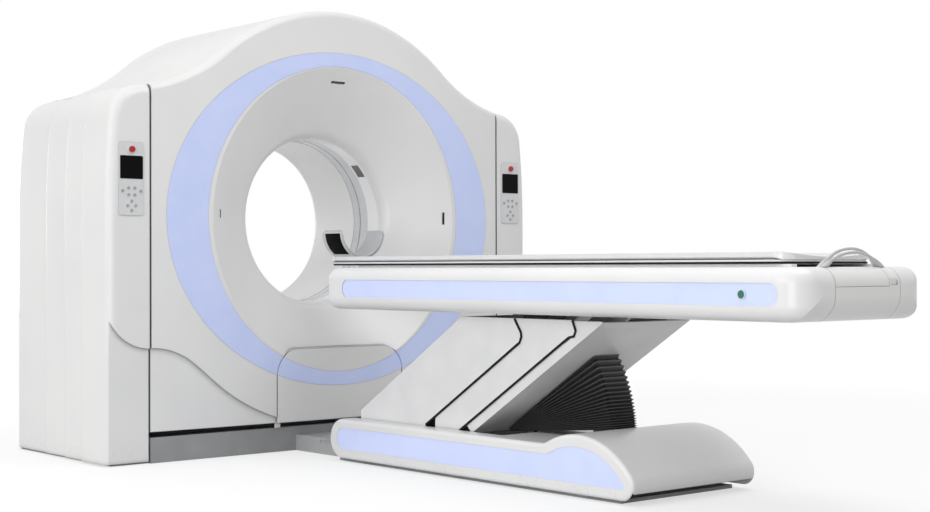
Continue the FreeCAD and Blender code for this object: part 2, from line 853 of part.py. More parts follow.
def sidePanel(name, outer, drop, front, rear, closed=False):
    body = newBody(name)
    face = sketchOn(body, "XZ_Plane", "-(%s)" % front)
    shoulderOutline(face, outer, drop)
    pad(body, face, "%s - (%s)" % (rear, front), reverse=True)
    roundRim(body, value(front))
    if not closed:
        roundRim(body, value(rear))
    if closed:
        end = value(rear) - 1
        inner = value("podInner") + 1
        low = value("podBottom") + 1

        def onRim(edge):
            points = [v.Point for v in edge.Vertexes]
            return all(p.y > end for p in points) and not all(p.x < inner for p in points) \
                and not all(p.z < low for p in points)

        fillet(body, "panelEndRound", onRim)
    cavity = sketchOn(body, "XZ_Plane", "-(%s)" % front)
    shoulderOutline(cavity, outer, drop, "podWall", "podBottom - 5")
    depth = "%s - (%s)" % (rear, front)
    pocket(body, cavity, depth + " - panelEndWall" if closed else depth)
    inside = sketchOn(body, "XZ_Plane", "-(%s)" % front)
    rectangle(inside, "podInner - 5", "podBottom - 5", "podInner + podWall + 1",
              "plateThick + 5" if closed else "1350")
    pocket(body, inside, depth + (" - panelEndWall" if closed else ""))
    if closed:
        foot = sketchOn(body, "XZ_Plane", "-(%s)" % front)
        rectangle(foot, "podInner - 5", "podBottom - 5", "podInner + podWall + 1", "1350")
        pocket(body, foot, depth + " - panelEndWall - 5")
    return body


def makeSidePanels():
    start = "coverFront + podDepth"
    panels = [
        sidePanel("sidePanelFront", "frontPanelOut", "panelDrop", start, "frontPanelEnd"),
        sidePanel("sidePanelMiddle", "middlePanelOut", "(panelDrop + panelDropStep)", "frontPanelEnd",
                  "middlePanelEnd"),
        sidePanel("sidePanelRear", "rearPanelOut", "(panelDrop + 2 * panelDropStep)", "middlePanelEnd",
                  "coverRear", closed=True)]
    right = keep(group("rightPanels", panels), "right_side_panels")
    keep(mirrored("leftPanels", right), "left_side_panels")


def makeBaseFrame():
    body = newBody("baseFrame")
    plate = sketchOn(body, "XY_Plane")
    rectangle(plate, "-plateHalf", "plateFront", "plateHalf", "plateRear")
    pad(body, plate, "plateThick")
    for front, top in (("coverFront + skirtThick + 10", "frontBeamTop"), ("plateRear - beamWidth - 10", "rearBeamTop")):
        beam = sketchOn(body, "XY_Plane", "plateThick")
        rectangle(beam, "-podInner + 20", front, "podInner - 20", "%s + beamWidth" % front)
        pad(body, beam, "%s - plateThick" % top)
    holes = sketchOn(body, "XY_Plane")
    for x in ("anchorX", "-anchorX"):
        for y in ("anchorY", "-anchorY"):
            circle(holes, x, y, "anchorRadius")
    pocket(body, holes)
    keep(body, "gantry_base_frame")


def makeStands():
    body = newBody("tiltStand")
    sketch = sketchOn(body, "YZ_Plane", "standInner")
    outline(sketch, [
        ("-standFoot", "plateThick"), ("standFoot", "plateThick"), ("standHead", "isoHeight"),
        ("0", "isoHeight + standHead", "standHead"), ("-standHead", "isoHeight", "standHead")])
    pad(body, sketch, "standThick")
    bore = sketchOn(body, "YZ_Plane", "standInner")
    circle(bore, "0", "isoHeight", "shaftRadius + runningFit")
    pocket(body, bore, "standThick", reverse=True)
    keep(group("tiltStands", [body, mirrored("leftStand", body)]), "tilt_stands")


def makeSkirt():
    back = "coverFront + 10 + skirtThick"
    keep(box("skirt", "-podInner + 9", "coverFront + 10", "0", "podInner - 9", back, "skirtHeight"),
         "front_skirt")
    round = "((baseTop - baseGap) / 2)"
    duct = box("duct", "-ductHalf", "tablePlateFront + 2", "0", "ductHalf", "coverFront + 10", "ductHeight")
    slot = box("ductSlot", "-ductHalf - 5", "-575", "44", "-ductHalf + 4", "-480", "56")
    end = cylinder("ductEnd", round, "2 * baseHalf", "-baseHalf", "baseFront - " + round, "baseGap + " + round, "X")
    keep(cut("floorDuct", duct, fuse("ductCuts", [slot, mirrored("rightDuctSlot", slot), end])), "floor_duct")


def makeControlPanels():
    """Key plates on the pods, each with its display and a stop button that pushes in."""
    body = newBody("keyPlate")
    face = sketchOn(body, "XZ_Plane", "-coverFront")
    half = "keyPlateWidth / 2"
    roundedRectangle(face, "keyPlateX - " + half, "keyPlateLow", "keyPlateX + " + half, "keyPlateHigh", "8")
    pad(body, face, "keyPlateThick")
    keys = sketchOn(body, "XZ_Plane", "-coverFront + keyPlateThick")
    for x, z in ((38, 92), (13, 103), (-13, 103), (-38, 92), (13, 77), (-13, 77), (0, 53), (17, 36), (-17, 36), (0, 18)):
        circle(keys, "keyPlateX + %d" % x, "keyPlateLow + %d" % z, "keyRadius")
    pad(body, keys, "keyRise")
    hole = sketchOn(body, "XZ_Plane", "-coverFront")
    circle(hole, "keyPlateX", "stopHeight", "stopStem + buttonClear")
    pocket(body, hole)
    keep(group("keyPlates", [body, mirrored("leftKeyPlate", body)]), "control_panels")
    display = newBody("display")
    sketch = sketchOn(display, "XZ_Plane", "-coverFront + keyPlateThick")
    wide = "displayWidth / 2"
    roundedRectangle(sketch, "keyPlateX - " + wide, "displayLow", "keyPlateX + " + wide, "displayHigh", "4")
    pad(display, sketch, "1.2")
    keep(group("displays", [display, mirrored("leftDisplay", display)]), "panel_displays")
    button = newBody("stopButton")
    cap = sketchOn(button, "XZ_Plane", "-coverFront + keyPlateThick + stopTravel + buttonClear")
    circle(cap, "keyPlateX", "stopHeight", "stopRadius")
    pad(button, cap, "stopCapThick")
    stem = sketchOn(button, "XZ_Plane", "-coverFront + keyPlateThick + stopTravel + buttonClear")
    circle(stem, "keyPlateX", "stopHeight", "stopStem")
    pad(button, stem, "stopTravel + keyPlateThick + 12", reverse=True)
    keep(button, "right_stop_button")
    keep(mirrored("leftStopButton", button), "left_stop_button")


# ---------------------------------------------------------------- tilt frame, bearing, rotor and drive

pulleyX = "(pulleyDistance * cos(pulleyAngle))"
pulleyZ = "(isoHeight + pulleyDistance * sin(pulleyAngle))"


def makeTiltFrame():
    """A ring that carries the bearing, with an arm and a trunnion on each side."""
    body = newBody("tiltRing")
    sketch = boreSketch(body)
    rectangle(sketch, "frameY", "isoHeight + raceOuter", "frameY + frameThick", "isoHeight + frameRadius")
    revolve(body, sketch)
    flange = boreSketch(body)
    rectangle(flange, "frameY + frameThick - 15", "isoHeight + frameRadius - 20", "frameY + frameThick",
              "isoHeight + domeRadius - coverWall")
    revolve(body, flange, angle="70")
    motorPlate = sketchOn(body, "XZ_Plane", "-frameY - frameThick")
    rectangle(motorPlate, pulleyX + " - 95", pulleyZ + " - 95", pulleyX + " + 95", pulleyZ + " + 95")
    pad(body, motorPlate, "frameThick")
    hole = sketchOn(body, "XZ_Plane", "-frameY - frameThick")
    circle(hole, pulleyX, pulleyZ, "2 * motorShaft")
    pocket(body, hole)
    arm = box("tiltArm", "frameRadius - 10", "-110", "isoHeight - 110", "coverHalf - coverWall - 8",
              "frameY + frameThick", "isoHeight + 110")
    shaft = cylinder("trunnion", "shaftRadius", "shaftEnd - coverHalf + 30", "coverHalf - 30", "0", "isoHeight", "X")
    side = fuse("tiltSide", [arm, shaft])
    keep(fuse("tiltFrame", [body, side, mirrored("leftTiltSide", side)]), "tilt_frame")


def makeRotor():
    body = newBody("drum")
    sketch = boreSketch(body)
    outline(sketch, [
        ("drumY", "isoHeight + drumInner"), ("drumY + drumPlate", "isoHeight + drumInner"),
        ("drumY + drumPlate", "isoHeight + drumOuter"), ("drumY - rimDepth", "isoHeight + drumOuter"),
        ("drumY - rimDepth", "isoHeight + drumOuter - rimThick"), ("drumY", "isoHeight + drumOuter - rimThick")])
    revolve(body, sketch)
    keep(body, "rotor_drum")
    raceStart = "(drumY + drumPlate)"
    keep(ring("innerRace", "raceInner", "(raceMiddle - runningFit)", raceStart, "frameY + raceDepth"),
         "bearing_inner_race")
    keep(ring("outerRace", "raceMiddle", "raceOuter", "frameY", "frameY + raceDepth"), "bearing_outer_race")
    keep(ring("slipRing", "raceInner", "slipRingOuter", "frameY + raceDepth", "frameY + raceDepth + slipRingDepth"),
         "slip_ring")
    keep(cylinder("tube", "tubeRadius", "tubeLength", "0", "drumY - tubeLength", "isoHeight + tubeDistance", "Y"),
         "xray_tube")
    tubeLow = "isoHeight + tubeDistance - tubeRadius"
    keep(box("collimatorBox", "-110", "-35", "isoHeight + 400", "110", "drumY", tubeLow), "collimator")
    keep(box("generatorBox", "-660", "-40", "isoHeight - 130", "-480", "drumY", "isoHeight + 130"), "hv_generator")
    keep(box("exchangerBox", "480", "-20", "isoHeight - 140", "650", "drumY", "isoHeight + 140"), "heat_exchanger")
    detector = newBody("detector")
    arc = sketchOn(detector, "XZ_Plane", "detectorWidth / 2")
    focusZ = "isoHeight + focusRadius"
    points = []
    for turn, radius in (("-1", "detectorRadius"), ("1", "detectorRadius"),
                         ("1", "(detectorRadius + detectorDepth)"), ("-1", "(detectorRadius + detectorDepth)")):
        points.append(("%s * %s * sin(detectorAngle)" % (turn, radius),
                       "%s - %s * cos(detectorAngle)" % (focusZ, radius)))
    outline(arc, [points[0], points[1] + ("detectorRadius",), points[2],
                  points[3] + ("cw (detectorRadius + detectorDepth)",)])
    pad(detector, arc, "detectorWidth / 2 + drumY", reverse=True)
    keep(detector, "detector_arc")


def beltOutline(sketch, gap):
    drum = "(drumOuter + %s)" % gap
    small = "(pulleyRadius + %s)" % gap
    wrap = "(acos((drumOuter - pulleyRadius) / pulleyDistance) / 1deg)"

    def at(centreX, centreZ, radius, turn):
        angle = "(pulleyAngle + %s)" % turn
        return "%s + %s * cos(%s)" % (centreX, radius, angle), "%s + %s * sin(%s)" % (centreZ, radius, angle)

    outline(sketch, [
        at("0", "isoHeight", drum, wrap), at("0", "isoHeight", drum, "120") + (drum,),
        at("0", "isoHeight", drum, "240") + (drum,), at("0", "isoHeight", drum, "360 - " + wrap) + (drum,),
        at(pulleyX, pulleyZ, small, "360 - " + wrap), at(pulleyX, pulleyZ, small, wrap) + (small,)])


def makeDrive():
    belt = newBody("belt")
    start = "-drumY - (drumPlate - beltWidth) / 2 - beltWidth"
    outer = sketchOn(belt, "XZ_Plane", start)
    beltOutline(outer, "(beltGap + beltThick)")
    pad(belt, outer, "beltWidth")
    inner = sketchOn(belt, "XZ_Plane", start)
    beltOutline(inner, "beltGap")
    pocket(belt, inner)
    keep(belt, "drive_belt")
    wheel = cylinder("pulleyWheel", "pulleyRadius", "pulleyWidth", pulleyX, "drumY + 1", pulleyZ, "Y")
    shaft = cylinder("pulleyShaft", "motorShaft", "frameThick + 60", pulleyX, "drumY + 5", pulleyZ, "Y")
    keep(fuse("pulley", [wheel, shaft]), "drive_pulley")
    motor = cylinder("motorBody", "motorRadius", "motorLength", pulleyX, "frameY + frameThick", pulleyZ, "Y")
    socket = cylinder("motorSocket", "motorShaft + runningFit", "60", pulleyX, "frameY + frameThick - 5", pulleyZ, "Y")
    keep(cut("motor", motor, socket), "drive_motor")


# ---------------------------------------------------------------- table base

humpZ = "(humpTop - humpRadius)"
humpBlend = "60"


def baseOutline(sketch, inset, openLow=None):
    """The base cover from the side: round front end, flat top, hump and round nose.

    With openLow, the outline runs straight down to that height instead of closing with its own floor."""
    front = "((baseTop - baseGap) / 2)"
    frontY = "(baseFront - %s)" % front
    hump = "(humpRadius - %s)" % inset
    nose = "(noseRadius - %s)" % inset
    blend = "(%s + %s)" % (humpBlend, inset)
    blendZ = "(baseTop + %s)" % humpBlend
    blendY = "(humpY + sqrt((humpRadius + %s)^2 - (%s - %s)^2))" % (humpBlend, blendZ, humpZ)
    share = "(%s / (humpRadius + %s))" % (hump, humpBlend)
    noseZ = "(baseGap + noseRadius)"
    noseReach = "(humpRadius - noseRadius)"
    noseY = "(humpY - sqrt(%s^2 - (%s - %s)^2))" % (noseReach, noseZ, humpZ)
    low = "baseGap + %s" % inset
    top = "baseTop - %s" % inset
    middle = "(baseTop + baseGap) / 2"
    tip = ("baseFront - %s" % inset, middle)
    if openLow is None:
        steps = [(frontY, low), tip + ("(%s - %s)" % (front, inset),)]
    else:
        steps = [(tip[0], openLow), tip]
    steps += [
        (frontY, top, "(%s - %s)" % (front, inset)),
        (blendY, top),
        ("humpY + (%s - humpY) * %s" % (blendY, share), "%s + (%s - %s) * %s" % (humpZ, blendZ, humpZ, share),
         "cw " + blend),
        ("humpY + (%s - humpY) * %s / %s" % (noseY, hump, noseReach),
         "%s + (%s - %s) * %s / %s" % (humpZ, noseZ, humpZ, hump, noseReach), hump)]
    if openLow is None:
        steps += [(noseY, low, nose)]
    else:
        steps += [("%s - %s" % (noseY, nose), noseZ, nose), ("%s - %s" % (noseY, nose), openLow)]
    outline(sketch, steps)


def makeTableBase():
    body = newBody("baseShell")
    side = sketchOn(body, "YZ_Plane")
    baseOutline(side, "0")
    pad(body, side, "2 * baseHalf", middle=True)
    face = value("baseHalf") - 0.1
    foot = value("baseGap") + 0.1
    fillet(body, "baseRound", lambda edge: all(abs(v.X) > face for v in edge.Vertexes)
           and edge.Vertexes[0].X * edge.Vertexes[-1].X > 0 and any(v.Z > foot for v in edge.Vertexes))
    cavity = sketchOn(body, "YZ_Plane")
    baseOutline(cavity, "baseWall", "baseGap - 5")
    pocket(body, cavity, "2 * (baseHalf - baseWall)", middle=True)
    slot = sketchOn(body, "XY_Plane", "baseTop - 30")
    rectangle(slot, "-slotHalf", "slotRear", "slotHalf", "slotFront")
    pocket(body, slot, "100", reverse=True)
    passage = sketchOn(body, "XY_Plane", "baseTop - 30")
    rectangle(passage, "-50", "humpY + 60", "50", "slotRear + 5")
    pocket(body, passage, "100", reverse=True)
    band = newBody("baseBand")
    sketch = sketchOn(band, "YZ_Plane")
    reach = "(humpRadius - 40)"
    rise = "humpY %s sqrt(%s^2 - (%s - %s)^2)"
    height = "((inlayHigh - inlayLow) / 2)"
    tail = "(inlayLow + 10)"
    outline(sketch, [
        (rise % ("-", reach, tail, humpZ) + " + 8", "inlayLow"), ("baseFront - 50 - " + height, "inlayLow"),
        ("baseFront - 50", "inlayLow + " + height, height), ("baseFront - 50 - " + height, "inlayHigh", height),
        (rise % ("+", reach, "inlayHigh", humpZ), "inlayHigh"),
        (rise % ("-", reach, tail, humpZ), tail, reach)])
    pad(band, sketch, "2 * baseHalf + 20", middle=True)
    core = box("baseBandCore", "-baseHalf + inlayDepth", "baseRear - 20", "0", "baseHalf - inlayDepth",
               "baseFront + 20", "inlayHigh + 120")
    slab = box("baseBandSlab", "-baseHalf + inlayDepth - inlayThick", "baseRear - 20", "0",
               "baseHalf - inlayDepth + inlayThick", "baseFront + 20", "inlayHigh + 120")
    keep(cut("tableBaseCover", body, cut("baseBandRecess", band, core)), "table_base_cover")
    keep(cut("baseInlays", common("baseBandThin", band, slab), core), "base_inlays")


def eye(name, y, z, x, thick, radius="eyeRadius"):
    return cylinder(name, radius, thick, x, y, z, "X")


def along(pivot, distance, offset):
    """A point (y, z) at a distance along an arm and an offset above its centre line."""
    return ("%sY - (%s) * cos(armAngle) + (%s) * sin(armAngle)" % (pivot, distance, offset),
            "%sZ + (%s) * sin(armAngle) + (%s) * cos(armAngle)" % (pivot, distance, offset))


def lugPair(name, y, z, x, thick, root):
    """Two lugs, one each side of an arm's eye, that reach from the pivot to a plate at the root height."""
    parts = []
    for index, start in enumerate(("%s - lugThick - lugGap" % x, "%s + %s + lugGap" % (x, thick))):
        low, high = (root, z) if "base" in name else (z, root)
        parts.append(box("%sBlock%d" % (name, index), start, y + " - eyeRadius", low, start + " + lugThick",
                         y + " + eyeRadius", high))
        parts.append(eye("%sEye%d" % (name, index), y, z, start, "lugThick"))
    return parts


def topOf(pivot):
    return along(pivot, "armLength", "0")


pivots = ("frontPivot", "linkPivot", "rearPivot")
# The actuator's pin is as far up the rear arm as its base is from the arm's pivot, so it swings at half the arm's rate.
actuatorAlong = "sqrt((actuatorBaseY - rearPivotY)^2 + (actuatorBaseZ - rearPivotZ)^2)"


def makeTableBasePlate():
    """Floor plate with the lugs and pins of the three arms and the actuator."""
    body = newBody("tablePlate")
    plate = sketchOn(body, "XY_Plane")
    rectangle(plate, "-tablePlateHalf", "tablePlateRear", "tablePlateHalf", "tablePlateFront")
    pad(body, plate, "tablePlateThick")
    holes = sketchOn(body, "XY_Plane")
    for x in ("tableAnchorX", "-tableAnchorX"):
        for y in ("tableAnchorFront", "tableAnchorRear"):
            circle(holes, x, y, "anchorRadius")
    pocket(body, holes)
    side = []
    wall = "baseHalf - baseWall"
    for index, y in enumerate(("-860", "-1420", "-2060")):
        side.append(box("coverFoot%d" % index, "tablePlateHalf - 30", y + " - 25", "tablePlateThick - 1", wall,
                        y + " + 25", "tablePlateThick + 4"))
        side.append(box("coverTab%d" % index, wall + " - 4", y + " - 25", "tablePlateThick", wall, y + " + 25",
                        "45"))
    for pivot in pivots:
        bar, thick = ("linkBarX", "linkBarThick") if pivot == "linkPivot" else ("armBarX", "armBarThick")
        side += lugPair("base" + pivot, pivot + "Y", pivot + "Z", bar, thick, "tablePlateThick")
        start = "%s - lugThick - lugGap" % bar
        side.append(eye("basePin" + pivot, pivot + "Y", pivot + "Z", start, "%s + 2 * (lugThick + lugGap)" % thick,
                        "pinRadius"))
    half = fuse("tablePlateLugs", side)
    reach = "armBarX - lugThick"
    mounts = [body, half, mirrored("leftTablePlateLugs", half)]
    for pivot in ("frontPivot", "rearPivot"):
        mounts.append(eye("baseTube" + pivot, pivot + "Y", pivot + "Z", "-(%s)" % reach, "2 * (%s)" % reach,
                          "pinRadius"))
    clevis = "actuatorEye + 1"
    for index, start in enumerate(("-(%s) - 8" % clevis, clevis)):
        mounts.append(box("actuatorLug%d" % index, start, "actuatorBaseY - 22", "tablePlateThick", start + " + 8",
                          "actuatorBaseY + 22", "actuatorBaseZ"))
        mounts.append(eye("actuatorLugEye%d" % index, "actuatorBaseY", "actuatorBaseZ", start, "8", "22"))
    mounts.append(eye("actuatorBasePin", "actuatorBaseY", "actuatorBaseZ", "-(%s)" % clevis, "2 * (%s)" % clevis,
                      "actuatorPin"))
    keep(fuse("tablePlateMounts", mounts), "table_base_plate")


# ---------------------------------------------------------------- parallelogram arms and column covers

def armBar(name, pivot, x, thick, points):
    """One flat bar with an eye at each end, in the table's side plane."""
    body = newBody(name)
    sketch = sketchOn(body, "YZ_Plane", x)
    outline(sketch, [along(pivot, distance, offset) for distance, offset in points])
    pad(body, sketch, thick)
    ends = sketchOn(body, "YZ_Plane", x)
    for point in ((pivot + "Y", pivot + "Z"), topOf(pivot)):
        circle(ends, point[0], point[1], "eyeRadius")
    pad(body, ends, thick)
    holes = sketchOn(body, "YZ_Plane", x)
    for point in ((pivot + "Y", pivot + "Z"), topOf(pivot)):
        circle(holes, point[0], point[1], "pinRadius + runningFit")
    pocket(body, holes, thick, reverse=True)
    return body


straight = (("0", "-armHalf"), ("armLength", "-armHalf"), ("armLength", "armHalf"), ("0", "armHalf"))


def makeArms():
    rise = "columnFront - columnWall"
    deep = (("0", "-armHalf"), ("armLength", "-armHalf"), ("armLength", "armHalf"), ("700", "armHalf"),
            ("650", rise), ("110", rise), ("60", "armHalf"), ("0", "armHalf"))
    front = armBar("frontBar", "frontPivot", "armBarX", "armBarThick", deep)
    tie = along("frontPivot", "560", "0")
    frontTie = cylinder("frontTie", "14", "2 * armBarX", "-armBarX", tie[0], tie[1], "X")
    keep(fuse("frontArm", [front, mirrored("leftFrontBar", front), frontTie]), "front_arm")
    rear = armBar("rearBar", "rearPivot", "armBarX", "armBarThick", straight)
    parts = [rear, mirrored("leftRearBar", rear)]
    for distance, radius in (("150", "14"), ("780", "14"), (actuatorAlong, "actuatorPin")):
        point = along("rearPivot", distance, "0")
        parts.append(cylinder("rearTie", radius, "2 * armBarX", "-armBarX", point[0], point[1], "X"))
    keep(fuse("rearArm", parts), "rear_arm")


def makeColumnCovers():
    """Three nested covers, one on each pair of arms, that slide past each other as the table rises."""
    outer = newBody("frontColumn")
    nose = along("frontPivot", "-22", "columnFront")
    crown = "(columnTop - frontPivotZ - columnFront * cos(armAngle)) / sin(armAngle)"
    edge = along("frontPivot", "905", "-frontSeam")
    lowEdge = along("frontPivot", "300", "-frontSeam")

    def frontPoints(inset):
        front = "columnFront - %s" % inset
        top = "(columnTop - frontPivotZ - (%s) * cos(armAngle)) / sin(armAngle)" % front
        return [along("frontPivot", "-22", front), along("frontPivot", top, front)]

    side = sketchOn(outer, "YZ_Plane")
    edgeTop = ("%s - 8" % edge[0], "%s + 38" % edge[1])
    outline(side, [
        (nose[0], "70"), nose, along("frontPivot", crown, "columnFront"), ("%s + 33" % edgeTop[0], "columnTop"),
        edgeTop, ("%s - 2" % edgeTop[0], "%s - 16" % edgeTop[1]), edge, lowEdge, ("%s + 5" % lowEdge[0], "132"), ("frontPivotY - 90", "48"),
        ("frontPivotY + 50", "48")])
    pad(outer, side, "2 * columnHalf", middle=True)
    cavity = sketchOn(outer, "YZ_Plane")
    inner = frontPoints("columnWall")
    outline(cavity, [
        (nose[0] + " - columnWall", "0"), (nose[0] + " - columnWall", inner[0][1]), inner[0], inner[1],
        (inner[1][0], "columnTop + 60"), ("frontPivotY - 1050", "columnTop + 60"), ("frontPivotY - 1050", "0")][1:]
        + [(nose[0] + " - columnWall", "0")])
    pocket(outer, cavity, "2 * (columnHalf - columnWall)", middle=True)
    keep(outer, "column_cover_front")

    middle = newBody("middleColumn")
    face = "columnHalf - columnWall - 1 - columnWall"
    side = sketchOn(middle, "YZ_Plane", face)
    foot = along("linkPivot", "30", "-middleSeam")
    top = along("linkPivot", "780", "-middleSeam")
    fore = along("linkPivot", "500", "middleLap")
    root = along("linkPivot", "60", "middleLap")
    outline(side, [
        foot, ("%s + 30" % foot[0], "66"), ("linkPivotY + 20", "66"), root, fore,
        ("middleTopFront", "columnTop"), ("%s - 18" % top[0], "columnTop"), ("%s - 33" % top[0], "%s + 26" % top[1]),
        ("%s - 24" % top[0], "%s + 5" % top[1]), top])
    pad(middle, side, "columnWall")
    spacers = sketchOn(middle, "YZ_Plane", "linkBarX + linkBarThick")
    for distance in ("45", "780"):
        point = along("linkPivot", distance, "0")
        circle(spacers, point[0], point[1], "8")
    pad(middle, spacers, "%s - linkBarX - linkBarThick" % face)
    link = armBar("linkBar", "linkPivot", "linkBarX", "linkBarThick", straight)
    linkSide = fuse("linkSide", [middle, link])
    keep(group("middleColumns", [linkSide, mirrored("leftLinkSide", linkSide)]), "column_cover_middle")

    rear = newBody("rearColumn")
    half = "(%s - columnLayer - 1)" % ("columnHalf - columnWall - 1")
    start, end = "55", "(columnTop - 7 - rearPivotZ + columnRear * cos(armAngle)) / sin(armAngle)"
    side = sketchOn(rear, "YZ_Plane")
    outline(side, [
        along("rearPivot", start, "-columnRear"), along("rearPivot", "40", "rearLap"),
        along("rearPivot", "628", "rearLap"), along("rearPivot", "638", "rearLapSlot"),
        along("rearPivot", "702", "rearLapSlot"), along("rearPivot", "702", "rearLapTop"),
        along("rearPivot", end, "-columnRear + 6"),
        along("rearPivot", end, "-columnRear")])
    pad(rear, side, "2 * " + half, middle=True)
    cavity = sketchOn(rear, "YZ_Plane")
    plate = "-columnRear + columnWall"
    outline(cavity, [
        along("rearPivot", "-100", plate), along("rearPivot", "-100", "rearLap + 50"),
        along("rearPivot", "1000", "rearLap + 50"), along("rearPivot", "1000", plate)])
    pocket(rear, cavity, "2 * (%s - columnWall)" % half, middle=True)
    slot = sketchOn(rear, "YZ_Plane")
    outline(slot, [
        along("rearPivot", "130", "-columnRear - 10"), along("rearPivot", "130", "0"),
        along("rearPivot", "580", "0"), along("rearPivot", "580", "-columnRear - 10")])
    pocket(rear, slot, "100", middle=True)
    keep(rear, "column_cover_rear")


def makeActuator():
    """Electric lift actuator with a body, a middle tube and a rod that telescope up to the rear arm's pin."""
    pin = along("rearPivot", actuatorAlong, "0")
    run = "(%s - actuatorBaseY)" % pin[0], "(%s - actuatorBaseZ)" % pin[1]
    length = "sqrt(%s^2 + %s^2)" % run
    lean = math.degrees(math.atan2(value(run[0]), value(run[1])))

    def rod(name, radius, start, end):
        item = doc.addObject("Part::Cylinder", name)
        item.Placement = Placement(Vector(), Rotation(Vector(1, 0, 0), -lean))
        bind(item, "Radius", radius)
        bind(item, "Height", "%s - (%s)" % (end, start))
        share = "(%s) / %s" % (start, length)
        bind(item, ".Placement.Base.y", "actuatorBaseY + %s * %s" % (run[0], share))
        bind(item, ".Placement.Base.z", "actuatorBaseZ + %s * %s" % (run[1], share))
        return item

    half = "actuatorEye"
    baseEye = eye("actuatorBaseEye", "actuatorBaseY", "actuatorBaseZ", "-" + half, "2 * " + half, "20")
    body = fuse("actuatorBody", [rod("actuatorTube", "actuatorRadius", "actuatorFoot", "actuatorBody"),
                                 rod("actuatorNeck", "18", "10", "actuatorFoot + 2"), baseEye])
    hole = eye("actuatorBaseHole", "actuatorBaseY", "actuatorBaseZ", "-60", "120", "actuatorPin + runningFit")
    bore = rod("actuatorBore", "stageRadius + runningFit", "actuatorFoot + 4", "actuatorBody + 10")
    keep(cut("actuator", body, fuse("actuatorHoles", [hole, bore])), "lift_actuator")
    stageEnd = "stageStart + stageLength"
    keep(cut("stage", rod("stageTube", "stageRadius", "stageStart", stageEnd),
             rod("stageBore", "rodRadius + runningFit", "stageStart - 5", stageEnd + " + 5")), "lift_stage")
    rodEye = eye("rodEye", pin[0], pin[1], "-" + half, "2 * " + half, "actuatorPin + actuatorClear + 5")
    rodHole = eye("rodHole", pin[0], pin[1], "-60", "120", "actuatorPin + actuatorClear")
    shaft = rod("rodShaft", "rodRadius", "rodStart", length + " - actuatorPin - actuatorClear")
    keep(cut("liftRod", fuse("rodParts", [shaft, rodEye]), rodHole), "lift_rod")
    print("actuator: length %.2f mm, leans %.3f degrees" % (value(length), lean))


def makeBellows():
    """The fan of rubber pleats behind the column: sections about one line, wide and narrow in turn."""
    sections = []
    hollow = []
    pleats = 19
    angle = value("bellowsLow")
    step = (value("bellowsHigh") - angle) * 0.07 / (1.07 ** pleats - 1)
    for index in range(2 * pleats + 1):
        folded = index % 2 == 1
        sections.append(fanSection("pleat%d" % index, angle, "bellowsHalf - %s" % ("bellowsFold" if folded else "0"),
                                   "bellowsRoot", "bellowsReach - %s" % ("bellowsFold" if folded else "0")))
        angle += step / 2
        if folded:
            step *= 1.07
    fan = doc.addObject("Part::Loft", "fan")
    fan.Sections = sections
    fan.Solid = True
    fan.Ruled = True
    for angle in (value("bellowsLow") - 3, value("bellowsHigh") + 3):
        hollow.append(fanSection("fanHollow", angle, "bellowsHalf - bellowsWall", "bellowsRoot + 30",
                                 "bellowsReach - bellowsWall"))
    inside = doc.addObject("Part::Loft", "fanInside")
    inside.Sections = hollow
    inside.Solid = True
    inside.Ruled = True
    keep(cut("bellowsFan", fan, inside), "bellows")


def fanSection(name, angle, half, start, end):
    """A rectangle that stands on the fan's line at an angle above the floor."""
    item = doc.addObject("Part::Plane", name)
    item.Placement = Placement(Vector(), Rotation(Vector(1, 0, 0), 180 - angle))
    bind(item, "Length", "2 * (%s)" % half)
    bind(item, "Width", "%s - (%s)" % (end, start))
    bind(item, ".Placement.Base.x", "-(%s)" % half)
    bind(item, ".Placement.Base.y", "bellowsY - (%s) * cos(%.4f)" % (start, angle))
    bind(item, ".Placement.Base.z", "bellowsZ + (%s) * sin(%.4f)" % (start, angle))
    return item


# ---------------------------------------------------------------- table frame and covers

def makeTableFrame():
    """Two rails with cross beams, and the lugs and pins of the arms' upper ends."""
    railEnd = "tableHead - headNose - 5"
    rail = box("frameRail", "railInner", "tableFoot + footRound", "railLow", "railOuter", railEnd, "railHigh")
    parts = [rail, mirrored("leftFrameRail", rail)]
    spans = ((railEnd + " - 40", railEnd), ("tableFoot + 60", "tableFoot + footRound + 40"),
             (topOf("frontPivot")[0] + " - 45", topOf("frontPivot")[0] + " + 45"),
             (topOf("rearPivot")[0] + " - 45", topOf("linkPivot")[0] + " + 45"))
    for index, (rear, front) in enumerate(spans):
        parts.append(box("frameBeam%d" % index, "-railInner - 5", rear, "beamLow", "railInner + 5", front,
                         "railHigh"))
    side = []
    for pivot in pivots:
        bar, thick = ("linkBarX", "linkBarThick") if pivot == "linkPivot" else ("armBarX", "armBarThick")
        y, z = topOf(pivot)
        side += lugPair("top" + pivot, y, z, bar, thick, "beamLow + 5")
        side.append(eye("topPin" + pivot, y, z, "%s - lugThick - lugGap" % bar,
                        "%s + 2 * (lugThick + lugGap)" % thick, "pinRadius"))
    half = fuse("frameLugs", side)
    parts += [half, mirrored("leftFrameLugs", half)]
    reach = "armBarX - lugThick"
    for pivot in ("frontPivot", "rearPivot"):
        y, z = topOf(pivot)
        parts.append(eye("topTube" + pivot, y, z, "-(%s)" % reach, "2 * (%s)" % reach, "pinRadius"))
    keep(fuse("tableFrameParts", parts), "table_frame")


